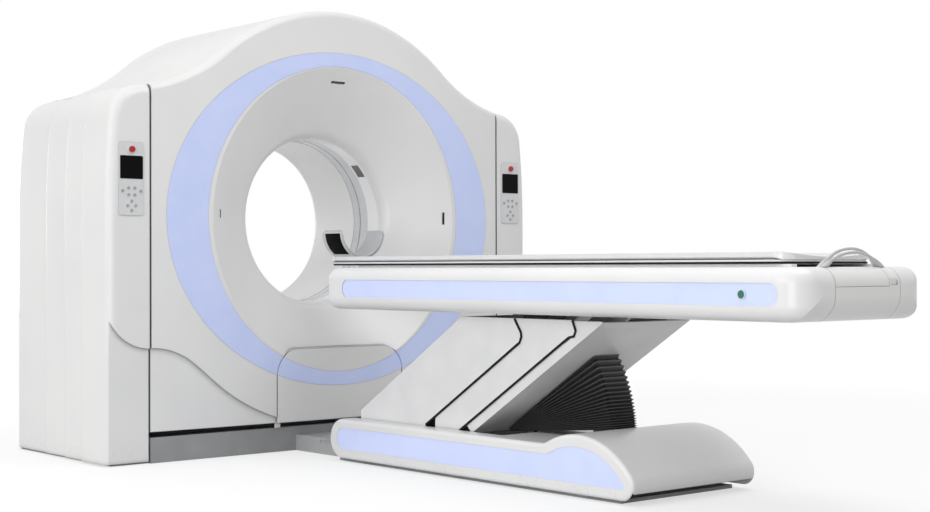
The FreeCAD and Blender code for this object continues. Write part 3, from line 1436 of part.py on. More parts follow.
def planPrism(name, inset):
    body = newBody(name)
    sketch = sketchOn(body, "XY_Plane", "tableLow + %s" % inset)
    half = "(tableHalf - %s)" % inset
    foot, head = "(tableFoot + %s)" % inset, "(tableHead - %s)" % inset
    footTurn, headTurn = "(footRound - %s)" % inset, "(headRound - %s)" % inset
    outline(sketch, [
        ("tableHalf - footRound", foot), (half, "tableFoot + footRound", footTurn),
        (half, "tableHead - headRound"), ("tableHalf - headRound", head, headTurn),
        ("-tableHalf + headRound", head), ("-" + half, "tableHead - headRound", headTurn),
        ("-" + half, "tableFoot + footRound"), ("-tableHalf + footRound", foot, footTurn)])
    pad(body, sketch, "tableHigh - tableLow - 2 * %s" % inset)
    low, high = (value("tableLow + %s" % inset), value("tableHigh - %s" % inset))
    fillet(body, "coverRound - %s" % inset, lambda edge: all(abs(v.Z - low) < 0.1 for v in edge.Vertexes)
           or all(abs(v.Z - high) < 0.1 for v in edge.Vertexes))
    return body


def sidePrism(name, inset):
    body = newBody(name)
    sketch = sketchOn(body, "YZ_Plane")
    low, high = "tableLow + %s" % inset, "tableHigh - %s" % inset
    foot, head = "tableFoot + %s" % inset, "tableHead - %s" % inset
    nose, top, front = ("(%s - %s)" % (size, inset) for size in ("noseDepth", "footTopRound", "headNose"))
    outline(sketch, [
        ("tableHead - headNose", low), (head, "tableLow + headNose", front), (head, "tableHigh - headNose"),
        ("tableHead - headNose", high, front), ("tableFoot + footTopRound", high),
        (foot, "tableHigh - footTopRound", top), (foot, "tableLow + noseDepth"),
        ("tableFoot + noseDepth", low, nose)])
    pad(body, sketch, "2 * tableHalf + 10", middle=True)
    return body


def makeTableCovers():
    """Side covers that wrap the ends, the foot cover with its panel, and the light side inlays."""
    outer = common("tableOuter", planPrism("planOuter", "0"), sidePrism("sideOuter", "0"))
    inner = common("tableInner", planPrism("planInner", "tableWall"), sidePrism("sideInner", "tableWall"))
    middle = box("tableMiddle", "-tableCoverInner", "tableFoot + 75", "tableLow - 20", "tableCoverInner",
                 "tableHead - 75", "tableHigh + 20")
    shell = cut("tableShell", outer, fuse("tableHollow", [inner, middle]))
    split = "tableFoot + footRound + 20"
    region = fuse("sideRegion", [
        box("sideRegionLong", "0", split, "tableLow - 5", "tableHalf + 5", "tableHead + 5", "tableHigh + 5"),
        box("sideRegionFoot", "footSeam", "tableFoot - 5", "tableLow - 5", "tableHalf + 5", split,
            "tableHigh + 5")])
    stripe = newBody("stripe")
    sketch = sketchOn(stripe, "YZ_Plane")
    roundedRectangle(sketch, "stripeRear", "stripeLow", "stripeFront", "stripeHigh", "31")
    pad(stripe, sketch, "2 * tableHalf + 20", middle=True)
    core = box("stripeCore", "-tableHalf + stripeDepth", "tableFoot", "tableLow", "tableHalf - stripeDepth",
               "tableHead", "tableHigh")
    slab = box("stripeSlab", "-tableHalf + stripeDepth - stripeThick", "tableFoot", "tableLow",
               "tableHalf - stripeDepth + stripeThick", "tableHead", "tableHigh")
    side = cut("sideCover", common("sideCoverShell", shell, region), cut("stripeRecess", stripe, core))
    hole = cylinder("releaseHole", "releaseRadius + buttonClear", "60", "-tableHalf - 10", "releaseY", "releaseZ", "X")
    keep(side, "right_side_cover")
    keep(cut("leftSideCover", mirrored("leftSideShell", side), hole), "left_side_cover")
    inlays = cut("stripeInlays", common("stripeThin", stripe, slab), core)
    keep(cut("sideInlays", inlays, hole), "side_inlays")
    keep(cylinder("releaseCap", "releaseRadius", "14", "-tableHalf - 1", "releaseY", "releaseZ", "X"),
         "release_button")
    foot = common("footShell", shell, box(
        "footRegion", "-footSeam + 1.5", "tableFoot - 5", "tableLow - 5", "footSeam - 1.5", split, "tableHigh + 5"))
    panelSpace = box("footPanelSpace", "-footSeam - 5", "tableFoot - 5", "panelSplitZ", "footPanelRight", split,
                     "tableHigh + 5")
    socket = box("footSocket", "footPanelRight + 4", "tableFoot - 5", "panelSplitZ + 4", "footPanelRight + 42",
                 "tableFoot + 4", "tableHigh - 6")
    keep(cut("footCover", foot, fuse("footTools", [panelSpace, socket])), "foot_cover")
    panel = box("footPanelBlock", "-footSeam + 1.5", "tableFoot - 5", "panelSplitZ + 1", "footPanelRight - 1", split,
                "tableHigh + 5")
    keep(common("footPanel", foot, panel), "foot_panel")
    plate = box("tableTopPlate", "-tableCoverInner + 0.5", "tableFoot + 76", "railHigh", "tableCoverInner - 0.5",
                "tableHead - 76", "tableHigh")
    guide = box("guide", "guideX", "tableFoot + 120", "tableHigh", "guideX + guideWidth", "tableHead - 80",
                "carriageLow - runnerClear")
    keep(fuse("tableTop", [plate, guide, mirrored("leftGuide", guide)]), "frame_top_cover")


# ---------------------------------------------------------------- cradle and head holder

def cradlePlan(name, inset, low, high):
    body = newBody(name)
    sketch = sketchOn(body, "XY_Plane", low)
    half = "(cradleHalf - %s)" % inset
    roundedRectangle(sketch, "-" + half, "(cradleFoot + %s)" % inset, half, "(cradleHead - %s)" % inset, "55")
    pad(body, sketch, "%s - %s" % (high, low))
    return body


def makeCradle():
    body = newBody("cradleShell")
    section = sketchOn(body, "XZ_Plane", "-cradleHead")
    dish = "((cradleHalf - cradleRim)^2 + cradleDish^2) / (2 * cradleDish)"
    outline(section, [
        ("-cradleHalf + 12", "carriageTop"), ("cradleHalf - 12", "carriageTop"), ("cradleHalf", "carriageTop + 8"),
        ("cradleHalf", "cradleTop"), ("cradleHalf - cradleRim", "cradleTop"),
        ("-cradleHalf + cradleRim", "cradleTop", "cw " + dish), ("-cradleHalf", "cradleTop"),
        ("-cradleHalf", "carriageTop + 8")])
    pad(body, section, "cradleHead - cradleFoot")
    keep(common("cradleTrim", body, cradlePlan("cradlePlan", "0", "carriageTop - 5", "cradleTop + 10")), "cradle")
    keep(cradlePlan("carriage", "(cradleHalf - carriageHalf)", "carriageLow", "carriageTop"), "cradle_carriage")


def holderProfile(name, lift):
    """The head cup from the side, with rounded upper corners."""
    body = newBody(name)
    sketch = sketchOn(body, "YZ_Plane")
    top = "earTop + " + lift
    outline(sketch, [
        ("holderRear", "carriageTop"), ("holderFront", "carriageTop"), ("holderFront", top + " - earRound"),
        ("holderFront - earRound", top, "earRound"), ("holderRear + earRound", top),
        ("holderRear", top + " - earRound", "earRound")])
    pad(body, sketch, "400", middle=True)
    return body


def halfPipe(name, inner, outer, rise):
    """Half a ring about the cup's own axis, open upwards."""
    body = newBody(name)
    sketch = sketchOn(body, "XZ_Plane", "-holderFront")
    outline(sketch, [
        ("-" + inner, "earTop"), ("0", "earTop - " + inner, inner), (inner, "earTop", inner),
        (inner, "earTop + " + rise), (outer, "earTop + " + rise), (outer, "earTop"),
        ("0", "earTop - " + outer, "cw " + outer), ("-" + outer, "earTop", "cw " + outer),
        ("-" + outer, "earTop + " + rise), ("-" + inner, "earTop + " + rise)])
    pad(body, sketch, "holderFront - holderRear")
    return body


def makeHeadHolder():
    shell = common("holderShell", halfPipe("holderPipe", "(holderRadius - holderWall)", "holderRadius", "2"),
                   holderProfile("holderProfile", "0"))
    tongue = box("holderTongue", "-40", "cradleHead", "carriageTop + 1", "40", "holderRear", "tongueTop")
    riser = box("holderRiser", "-40", "holderRear - 10", "carriageTop + 1", "40", "holderRear + 20",
                "earTop - holderRadius + holderWall - 0.5")
    keep(fuse("headHolder", [shell, tongue, riser]), "head_holder")
    outer = "(holderRadius - holderWall - 0.1)"
    pipe = halfPipe("padPipe", "(holderRadius - holderWall - padThick)", outer, "10")
    keep(common("padShape", pipe, holderProfile("padProfile", "9")), "head_pad")


# ---------------------------------------------------------------- foot-end cables

cableRadius = 4.5
glandRadius = 8.0
cableRoutes = {
    "cable_1": ((-128, -2900, 757), (-86, -2898, 778), (-25, -2895, 790), (40, -2896, 791), (92, -2900, 774),
                (116, -2902, 757)),
    "cable_2": ((-126, -2882, 758), (-82, -2878, 784), (-20, -2874, 800), (45, -2874, 803), (98, -2878, 786),
                (122, -2882, 760)),
}


def routeWire(points):
    """Straight runs joined by tangent arcs, each arc as large as the shorter run allows."""
    corners = [Vector(*point) for point in points]
    edges = []
    radii = []
    start = corners[0]
    for before, corner, after in zip(corners, corners[1:], corners[2:]):
        back, ahead = before - corner, after - corner
        turn = math.pi - back.getAngle(ahead)
        reach = 0.45 * min(back.Length, ahead.Length)
        radii.append(reach / math.tan(turn / 2))
        back.normalize()
        ahead.normalize()
        first, last = corner + back * reach, corner + ahead * reach
        inward = (back + ahead).normalize()
        middle = corner + inward * (radii[-1] / math.cos(turn / 2) - radii[-1])
        edges.append(Part.makeLine(start, first))
        edges.append(Part.Arc(first, middle, last).toShape())
        start = last
    edges.append(Part.makeLine(start, corners[-1]))
    return Part.Wire(edges), radii


def disc(name, centre, direction, radius):
    item = doc.addObject("Part::Circle", name)
    item.Radius = radius
    item.Placement = Placement(centre, Rotation(Vector(0, 0, 1), direction))
    return item


def makeCables():
    glands = []
    space = box("glandSpace", "-tableHalf", "tableFoot", "tableHigh", "tableHalf", "tableHead", "tableHigh + 60")
    for name, points in cableRoutes.items():
        wire, radii = routeWire(points)
        path = doc.addObject("Part::Feature", name + "Path")
        path.Shape = wire
        start, second = Vector(*points[0]), Vector(*points[1])
        sweep = doc.addObject("Part::Sweep", name + "Tube")
        sweep.Sections = [disc(name + "Section", start, second - start, cableRadius)]
        sweep.Spine = (path, ["Edge%d" % number for number in range(1, len(wire.Edges) + 1)])
        sweep.Solid = True
        sweep.Frenet = True
        keep(sweep, name)
        for end, inner in ((points[0], points[1]), (points[-1], points[-2])):
            away = (Vector(*end) - Vector(*inner)).normalize()
            gland = doc.addObject("Part::Cylinder", name + "Gland")
            gland.Radius = glandRadius
            gland.Height = 32
            gland.Placement = Placement(Vector(*end), Rotation(Vector(0, 0, 1), away))
            glands.append(common(name + "GlandTrim", gland, space))
        print("%s: length %.0f mm, tightest bend %.0f mm" % (name, wire.Length, min(radii)))
    keep(group("glands", glands), "cable_glands")


funnelLamps = makeFrontCovers()
makeTopCover()
makeRearCover()
makeBoreLiner(funnelLamps)
makePods()
makeSidePanels()
makeBaseFrame()
makeStands()
makeSkirt()
makeControlPanels()
makeTiltFrame()
makeRotor()
makeDrive()
makeTableBase()
makeTableBasePlate()
makeArms()
makeColumnCovers()
makeActuator()
makeBellows()
makeTableFrame()
makeTableCovers()
makeCradle()
makeHeadHolder()
makeCables()


# ---------------------------------------------------------------- checks and files

def volumeOf(item):
    return 0.0 if item is None or item.Shape.isNull() else item.Shape.Volume


doc.recompute()
faults = ["%s is %s" % (item.Name, item.State) for item in doc.Objects
          if "Invalid" in item.State or "Error" in item.State]
for feature in cuts:
    if abs(volumeOf(feature.BaseFeature) - volumeOf(feature)) < 1:
        faults.append(feature.Name + " cuts nothing")
for item in subParts:
    if item.Shape.isNull() or not item.Shape.isValid() or volumeOf(item) <= 0:
        faults.append(item.Label + " has no valid shape")
if faults:
    raise RuntimeError("; ".join(faults))

os.makedirs("parts", exist_ok=True)
for item in subParts:
    item.Shape.exportStep("parts/%s.step" % item.Label)
print(len(subParts), "sub-parts,", sum(len(item.Shape.Solids) for item in subParts), "solids")
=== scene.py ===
import bpy
import bmesh
import math
from mathutils import Matrix, Vector


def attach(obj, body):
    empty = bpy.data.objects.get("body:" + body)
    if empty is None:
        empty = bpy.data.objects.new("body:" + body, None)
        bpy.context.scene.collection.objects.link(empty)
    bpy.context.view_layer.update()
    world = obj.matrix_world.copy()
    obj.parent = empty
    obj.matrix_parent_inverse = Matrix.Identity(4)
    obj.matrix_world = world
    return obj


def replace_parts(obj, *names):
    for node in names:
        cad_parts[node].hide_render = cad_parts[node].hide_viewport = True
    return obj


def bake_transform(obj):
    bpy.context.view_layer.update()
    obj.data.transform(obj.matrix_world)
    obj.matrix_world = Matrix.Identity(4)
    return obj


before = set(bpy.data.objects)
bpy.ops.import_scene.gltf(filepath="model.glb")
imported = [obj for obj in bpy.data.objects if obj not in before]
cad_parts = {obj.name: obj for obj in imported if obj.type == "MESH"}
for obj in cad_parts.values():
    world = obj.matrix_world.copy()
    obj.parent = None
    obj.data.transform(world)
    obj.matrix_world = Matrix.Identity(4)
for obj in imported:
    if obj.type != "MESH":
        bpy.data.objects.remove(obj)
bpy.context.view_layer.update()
scene = bpy.context.scene
print("frame loaded:", len(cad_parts), "nodes")


weldDistance = 0.00001  # metres: joins the vertices that an operator leaves on one another
cadWeldDistance = 0.00005  # metres: closes the seams between a CAD mesh's faces
planeDistance = 0.0001  # metres: nearer than this counts as lying in a plane
sharpAngle = 1.2  # radians: an edge that turns further is rounded off
bothSides = (("Left", -1), ("Right", 1))


def linear(hexColour):
    # An sRGB hex colour as linear light.
    parts = [int(hexColour[i:i + 2], 16) / 255 for i in (1, 3, 5)]
    return tuple(c / 12.92 if c <= 0.04045 else ((c + 0.055) / 1.055) ** 2.4 for c in parts) + (1.0,)


def addNode(tree, kind, settings=None, values=None, links=None):
    node = tree.nodes.new(kind)
    for key, setting in (settings or {}).items():
        setattr(node, key, setting)
    for key, number in (values or {}).items():
        node.inputs[key].default_value = number
    for key, socket in (links or {}).items():
        tree.links.new(socket, node.inputs[key])
    return node


def addRamp(tree, factor, stops):
    ramp = addNode(tree, "ShaderNodeValToRGB", links={"Fac": factor})
    for index, (place, colour) in enumerate(stops):
        stop = ramp.color_ramp.elements[index] if index < 2 else ramp.color_ramp.elements.new(place)
        stop.position = place
        stop.color = colour
    return ramp.outputs["Color"]


def newMaterial(name, values):
    material = bpy.data.materials.new(name)
    material.use_nodes = True
    tree = material.node_tree
    shader = tree.nodes["Principled BSDF"]
    for key, number in values.items():
        shader.inputs[key].default_value = number
    place = addNode(tree, "ShaderNodeTexCoord").outputs["Object"]
    return material, tree, shader, place


def newPiece(name, mesh, material, body):
    piece = bpy.data.objects.new(name, mesh)
    scene.collection.objects.link(piece)
    mesh.materials.clear()
    mesh.materials.append(material)
    if body:
        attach(piece, body)
    return piece


def roundOff(bm, geom, radius, steps, affect="EDGES"):
    bmesh.ops.bevel(bm, geom=geom, offset=radius, segments=steps, profile=0.5, affect=affect, material=-1)


def sharpEdges(bm):
    return [edge for edge in bm.edges if edge.is_manifold and edge.calc_face_angle(0) > sharpAngle]


def cutAcross(bm, place, normal):
    everything = bm.verts[:] + bm.edges[:] + bm.faces[:]
    bmesh.ops.bisect_plane(bm, geom=everything, plane_co=place, plane_no=normal)


def vertsOf(geometry):
    return [item for item in geometry if isinstance(item, bmesh.types.BMVert)]


def spinProfile(points, centre, axis, steps):
    # A closed outline turned once round an axis.
    bm = bmesh.new()
    corners = [bm.verts.new(point) for point in points]
    edges = [bm.edges.new(pair) for pair in zip(corners, corners[1:] + corners[:1])]
    bmesh.ops.spin(bm, geom=corners + edges, cent=centre, axis=axis, angle=math.tau, steps=steps,
                   use_merge=True)
    return bm


def finishMesh(bm, name, smoothAngle=35):
    bmesh.ops.remove_doubles(bm, verts=bm.verts, dist=weldDistance)
    bmesh.ops.recalc_face_normals(bm, faces=bm.faces)
    limit = math.radians(smoothAngle)
    for face in bm.faces:
        face.smooth = True
    for edge in bm.edges:
        edge.smooth = not edge.is_manifold or edge.calc_face_angle() < limit
    mesh = bpy.data.meshes.new(name)
    bm.to_mesh(mesh)
    bm.free()
    return mesh


# The camera stands where the photograph was taken from.
cameraSettings = {
    "place": (-3.8661, -5.6643, 0.7510), "yaw": 0.70671, "pitch": 0.00686, "roll": -0.00253,
    "focalPixels": 1567.88, "widthPixels": 930, "sensorMm": 36,
}


def addCamera(s):
    forward = Vector((math.sin(s["yaw"]) * math.cos(s["pitch"]), math.cos(s["yaw"]) * math.cos(s["pitch"]),
                      math.sin(s["pitch"])))
    right = Vector((math.cos(s["yaw"]), -math.sin(s["yaw"]), 0))
    up = right.cross(forward)
    turnedRight = right * math.cos(s["roll"]) + up * math.sin(s["roll"])
    turnedUp = up * math.cos(s["roll"]) - right * math.sin(s["roll"])
    data = bpy.data.cameras.new("photoCamera")
    data.lens = s["focalPixels"] * s["sensorMm"] / s["widthPixels"]
    data.sensor_width = s["sensorMm"]
    camera = bpy.data.objects.new("photoCamera", data)
    scene.collection.objects.link(camera)
    turn = Matrix((turnedRight, turnedUp, -forward)).transposed()
    camera.matrix_world = Matrix.Translation(s["place"]) @ turn.to_4x4()
    scene.camera = camera


addCamera(cameraSettings)
print("camera placed")


# Finishes: colours are sRGB, and a name that ends in Mm is in millimetres.
coverPaint = {
    "colour": "#EDEDEC", "shade": "#E8E8E8", "roughness": 0.34, "edgeMm": 2.5,
    "peelMm": 1.8, "peelDepthMm": 0.02, "scuffTop": 0.10, "scuffColour": "#C4C3C0",
    "seamShadeMm": 18, "seamShadeColour": "#757577",
}


def makeCoverPaint(name, s):
    # Satin polyurethane paint over moulded foam panels: soft even white, rounded edges, faint orange peel,
    # and painted shade in the seams.
    material, tree, shader, place = newMaterial(name, {
        "Roughness": s["roughness"], "IOR": 1.5, "Coat Weight": 0.22, "Coat Roughness": 0.14})
    tone = addNode(tree, "ShaderNodeTexNoise", values={"Scale": 2.2, "Detail": 2}, links={"Vector": place})
    paint = addRamp(tree, tone.outputs["Fac"], ((0.35, linear(s["shade"])), (0.65, linear(s["colour"]))))
    # scuffs from shoes and mops low down
    height = addNode(tree, "ShaderNodeSeparateXYZ", links={"Vector": place})
    low = addNode(tree, "ShaderNodeMapRange",
                  values={"From Min": 0.0, "From Max": s["scuffTop"], "To Min": 1.0, "To Max": 0.0},
                  links={"Value": height.outputs["Z"]})
    marks = addNode(tree, "ShaderNodeTexNoise", values={"Scale": 38, "Detail": 6, "Roughness": 0.7},
                    links={"Vector": place})
    worn = addNode(tree, "ShaderNodeMapRange", values={"From Min": 0.55, "From Max": 0.75, "To Max": 0.55},
                   links={"Value": marks.outputs["Fac"]})
    amount = addNode(tree, "ShaderNodeMath", {"operation": "MULTIPLY"},
                     links={0: low.outputs["Result"], 1: worn.outputs["Result"]})
    mixed = addNode(tree, "ShaderNodeMix", {"data_type": "RGBA"},
                    links={"Factor": amount.outputs["Value"], 6: paint})
    mixed.inputs[7].default_value = linear(s["scuffColour"])
    # painted shade: the colour darkens towards the seam shade colour in seams, under edges and in recesses,
    # where ambient occlusion finds shade
    crevice = addNode(tree, "ShaderNodeAmbientOcclusion", {"samples": 6}, {"Distance": s["seamShadeMm"] / 1000})
    paintedShade = addNode(tree, "ShaderNodeMapRange",
                   values={"From Min": 0.30, "From Max": 0.92, "To Min": 0.85, "To Max": 0.0},
                   links={"Value": crevice.outputs["AO"]})
    shadedPaint = addNode(tree, "ShaderNodeMix", {"data_type": "RGBA"},
                    links={"Factor": paintedShade.outputs["Result"], 6: mixed.outputs[2]})
    shadedPaint.inputs[7].default_value = linear(s["seamShadeColour"])
    tree.links.new(shadedPaint.outputs[2], shader.inputs["Base Color"])
    peel = addNode(tree, "ShaderNodeTexNoise", values={"Scale": 1000 / s["peelMm"], "Detail": 1},
                   links={"Vector": place})
    soft = addNode(tree, "ShaderNodeBevel", {"samples": 4}, {"Radius": s["edgeMm"] / 1000})
    bump = addNode(tree, "ShaderNodeBump", values={"Strength": 0.35, "Distance": s["peelDepthMm"] / 1000},
                   links={"Height": peel.outputs["Fac"], "Normal": soft.outputs["Normal"]})
    tree.links.new(bump.outputs["Normal"], shader.inputs["Normal"])
    return material


def makeGrained(name, colour, shade, roughness, grainMm, depthMm, values=None, edgeMm=0):
    # A plain finish with a grain: colour drifts a little and the surface has a fine relief.
    material, tree, shader, place = newMaterial(name, {"Roughness": roughness, **(values or {})})
    tone = addNode(tree, "ShaderNodeTexNoise", values={"Scale": 9, "Detail": 4}, links={"Vector": place})
    mix = addRamp(tree, tone.outputs["Fac"], ((0.3, linear(shade)), (0.7, linear(colour))))
    tree.links.new(mix, shader.inputs["Base Color"])
    grain = addNode(tree, "ShaderNodeTexNoise", values={"Scale": 1000 / grainMm, "Detail": 2},
                    links={"Vector": place})
    links = {"Height": grain.outputs["Fac"]}
    if edgeMm:
        soft = addNode(tree, "ShaderNodeBevel", {"samples": 4}, {"Radius": edgeMm / 1000})
        links["Normal"] = soft.outputs["Normal"]
    bump = addNode(tree, "ShaderNodeBump", values={"Strength": 0.5, "Distance": depthMm / 1000}, links=links)
    tree.links.new(bump.outputs["Normal"], shader.inputs["Normal"])
    return material


def makePleatCloth(name, ridgeHighlightColour, valleyShadeColour):
    # Coated polyester folded over stiffeners: the folds' ridges carry a painted highlight and the valleys
    # painted shade.
    material = makeGrained(name, ridgeHighlightColour, ridgeHighlightColour, 0.5, 1.3, 0.06, {"Sheen Weight": 0.05})
    tree = material.node_tree
    shader = tree.nodes["Principled BSDF"]
    fold = addNode(tree, "ShaderNodeAttribute", {"attribute_name": "ridge"})
    foldHighlightAndShade = addRamp(tree, fold.outputs["Fac"], ((0.6, linear(valleyShadeColour)), (1.0, linear(ridgeHighlightColour))))
    tree.links.new(foldHighlightAndShade, shader.inputs["Base Color"])
    return material


def makeBrushed(name, colour, roughness, stretch):
    # Turned or brushed metal: fine lines along one direction that streak the highlight.
    material, tree, shader, place = newMaterial(name, {
        "Base Color": linear(colour), "Metallic": 1.0, "Roughness": roughness})
    long = addNode(tree, "ShaderNodeMapping", values={"Scale": stretch}, links={"Vector": place})
    lines = addNode(tree, "ShaderNodeTexNoise", values={"Scale": 120, "Detail": 3},
                    links={"Vector": long.outputs["Vector"]})
    rough = addNode(tree, "ShaderNodeMapRange",
                    values={"To Min": roughness - 0.08, "To Max": roughness + 0.12},
                    links={"Value": lines.outputs["Fac"]})
    tree.links.new(rough.outputs["Result"], shader.inputs["Roughness"])
    bump = addNode(tree, "ShaderNodeBump", values={"Strength": 0.3, "Distance": 0.00003},
                   links={"Height": lines.outputs["Fac"]})
    tree.links.new(bump.outputs["Normal"], shader.inputs["Normal"])
    return material


white = makeCoverPaint("satinCoverPaint", coverPaint)
# The gantry's mouldings have wider rounded edges, and the painted shade reaches further out from their
# joints.
gantryWhite = makeCoverPaint("gantryCoverPaint", {**coverPaint, "edgeMm": 6.0, "seamShadeMm": 28})
# Gloss white laminate of the tunnel wall.
linerWhite = makeGrained("linerLaminate", "#F6F6F6", "#F2F2F2", 0.18, 2.0, 0.01, {"Coat Weight": 0.3}, 2.0)
metalWhite = makeGrained("powderCoatWhite", "#E6E6E6", "#DFDFE0", 0.42, 1.2, 0.03, {"IOR": 1.5}, 1.5)
# Opal periwinkle acrylic with a satin face and a faint painted glow from its emission.
inlayBlue = makeGrained("periwinkleInlay", "#C6D2F8", "#C0CDF5", 0.30, 1.5, 0.01, {
    "Coat Weight": 0.3, "Emission Color": linear("#E6ECFF"), "Emission Strength": 0.17}, 1.0)
# The light ring's acrylic has a faint painted glow from its emission as well.
ringBlue = makeGrained("lightRingAcrylic", "#C8D4FA", "#C1CEF7", 0.36, 1.5, 0.01, {
    "Coat Weight": 0.2, "Emission Color": linear("#DCE5FF"), "Emission Strength": 0.09}, 2.5)
# Grey powder-coated steel: sandy texture.
skirtGrey = makeGrained("powderCoatGrey", "#9EA0A1", "#969899", 0.48, 1.4, 0.06, None, 1.5)
# The floor duct has the skirt's grey powder coat, painted lighter to stand in for the light it lacks under
# the pod.
ductGreyPaintedLighter = makeGrained("ductPowderCoatPaintedLighter", "#B6B7B8", "#AEAFB0", 0.45, 1.4, 0.06, None, 1.5)
frameGrey = makeGrained("framePaint", "#9A9C9E", "#919395", 0.5, 1.4, 0.06, None, 1.5)
housingGrey = makeGrained("hammeredHousing", "#717477", "#66696C", 0.42, 3.0, 0.12, None, 1.5)
steel = makeBrushed("turnedSteel", "#B9BABC", 0.32, (1, 12, 1))
aluminium = makeBrushed("millAluminium", "#D2D3D5", 0.36, (1, 10, 1))
chrome = makeBrushed("hardChromeRod", "#DCDDDF", 0.14, (1, 1, 1))
brass = makeBrushed("ringBrass", "#C9A860", 0.3, (1, 14, 1))
rubber = makeGrained("coatedBellowsCloth", "#1B1B1C", "#141415", 0.58, 1.3, 0.12, {"Sheen Weight": 0.08})
beltRubber = makeGrained("beltRubber", "#1E1E1F", "#171718", 0.7, 1.0, 0.05)
# Anti-glare display cover: almost no reflection.
glassBlack = makeGrained("displayGlass", "#040405", "#030304", 0.25, 40, 0.002,
                         {"Specular IOR Level": 0.12}, 0.6)
keyFilm = makeGrained("membraneFilm", "#E0E1E2", "#DADBDC", 0.36, 0.9, 0.02, None, 1.0)
keyPrint = makeGrained("keyCapGrey", "#AEB0B2", "#A4A6A9", 0.4, 0.9, 0.02)
stopRed = makeGrained("mushroomRed", "#C21018", "#B40D14", 0.22, 2.0, 0.01, {"Coat Weight": 0.4}, 0.8)
releaseTeal = makeGrained("releaseTeal", "#12766C", "#0F6A61", 0.25, 2.0, 0.01, {"Coat Weight": 0.4}, 0.8)
windowFilm = makeGrained("windowFilm", "#D8DADD", "#CED0D3", 0.2, 6.0, 0.04, {"Coat Weight": 0.3})
lensBlack = makeGrained("lampLens", "#191214", "#140E10", 0.1, 20, 0.003, {"Coat Weight": 0.5}, 0.5)
pvcGrey = makeGrained("cableJacket", "#C7C8CA", "#BEBFC1", 0.4, 2.2, 0.05)
# Thermoformed polycarbonate shell: light grey with a fine leather grain.
holderGrey = makeGrained("holderShell", "#CFD0D2", "#C8C9CB", 0.36, 1.6, 0.04, {"Coat Weight": 0.2}, 1.0)
# Black looped pile.
looseHook = makeGrained("hookPatch", "#0B0B0C", "#060607", 0.9, 0.8, 0.3, {"Specular IOR Level": 0.15})
foamSkin = makeGrained("foamSkin", "#B9BBBD", "#AEB0B3", 0.5, 1.1, 0.08, {"Sheen Weight": 0.1})
cradleWhite = makeGrained("cradleGelcoat", "#E2E2E3", "#DBDBDC", 0.26, 3.0, 0.03, {"Coat Weight": 0.2}, 1.5)
wiperRubber = makeGrained("wiperRubber", "#19191A", "#131314", 0.7, 1.0, 0.05, {"Specular IOR Level": 0.25})
print("materials made")

nodeFinish = {
    gantryWhite: ("left_pod", "right_pod", "left_side_panels", "right_side_panels", "front_cover",
                  "service_cover", "rear_cover", "top_cover"),
    linerWhite: ("bore_liner",),
    white: ("table_base_cover", "left_side_cover", "right_side_cover", "foot_cover", "foot_panel"),
    metalWhite: ("column_cover_rear", "column_cover_front", "column_cover_middle", "frame_top_cover",
                 "cradle_carriage"),
    inlayBlue: ("base_inlays", "side_inlays"),
    ringBlue: ("light_ring",),
    skirtGrey: ("front_skirt",),
    ductGreyPaintedLighter: ("floor_duct",),
    frameGrey: ("gantry_base_frame", "tilt_stands", "table_base_plate", "tilt_frame", "rear_arm", "front_arm",
                "table_frame"),
    housingGrey: ("drive_motor", "xray_tube", "detector_arc", "hv_generator", "lift_actuator"),
    steel: ("bearing_outer_race", "bearing_inner_race", "drive_pulley", "lift_stage"),
    aluminium: ("rotor_drum", "collimator", "heat_exchanger"),
    chrome: ("lift_rod",),
    brass: ("slip_ring",),
    beltRubber: ("drive_belt",),
    rubber: ("bellows",),
    glassBlack: ("panel_displays",),
    keyFilm: ("control_panels",),
    stopRed: ("left_stop_button", "right_stop_button"),
    releaseTeal: ("release_button",),
    windowFilm: ("scan_window",),
    lensBlack: ("positioning_lamps",),
    pvcGrey: ("cable_1", "cable_2", "cable_glands"),
    holderGrey: ("head_holder",),
    foamSkin: ("head_pad",),
    cradleWhite: ("cradle",),
}
for finish, names in nodeFinish.items():
    for name in names:
        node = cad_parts[name]
        if not node.material_slots:
            node.data.materials.append(finish)
        for materialSlot in node.material_slots:
            materialSlot.material = finish
print("finishes on", sum(len(names) for names in nodeFinish.values()), "nodes")


# Side panels. The crown goes sideways and upwards, and is nothing at the seams.
panelSettings = {
    "seams": (-0.113, 0.050, 0.230, 0.516), "crown": (0.0018, 0.006), "cuts": 8, "wall": 0.2,
    "flatBelow": 0.05, "smoothAngle": 30,
}


def makePanels(node, side, s):
    # The foamed panels belly out between their seams, along the side and over the top.
    bm = bmesh.new()
    bm.from_mesh(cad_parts[node].data)
    bmesh.ops.remove_doubles(bm, verts=bm.verts, dist=cadWeldDistance)
    for start, end in zip(s["seams"], s["seams"][1:]):
        for cut in range(1, s["cuts"]):
            level = start + (end - start) * cut / s["cuts"]
            cutAcross(bm, (0, level, 0), (0, 1, 0))
    bmesh.ops.recalc_face_normals(bm, faces=bm.faces)
    bm.normal_update()
    moves = []
    for vert in bm.verts:
        facing = Vector((side * max(0, side * vert.normal.x), 0, max(0, vert.normal.z)))
        if facing.length < s["wall"] or vert.co.z < s["flatBelow"]:
            continue
        facing.normalize()
        outward = Vector((facing.x * s["crown"][0], 0, facing.z * s["crown"][1]))
        for start, end in zip(s["seams"], s["seams"][1:]):
            if start < vert.co.y < end:
                across = 2 * (vert.co.y - start) / (end - start) - 1
                moves.append((vert, outward * (1 - across ** 2)))
    for vert, move in moves:
        vert.co += move
    name = node + "Crowned"
    return newPiece(name, finishMesh(bm, name, s["smoothAngle"]), gantryWhite, "root")


for node, side in (("left_side_panels", -1), ("right_side_panels", 1)):
    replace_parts(makePanels(node, side, panelSettings), node)
print("side panels crowned")


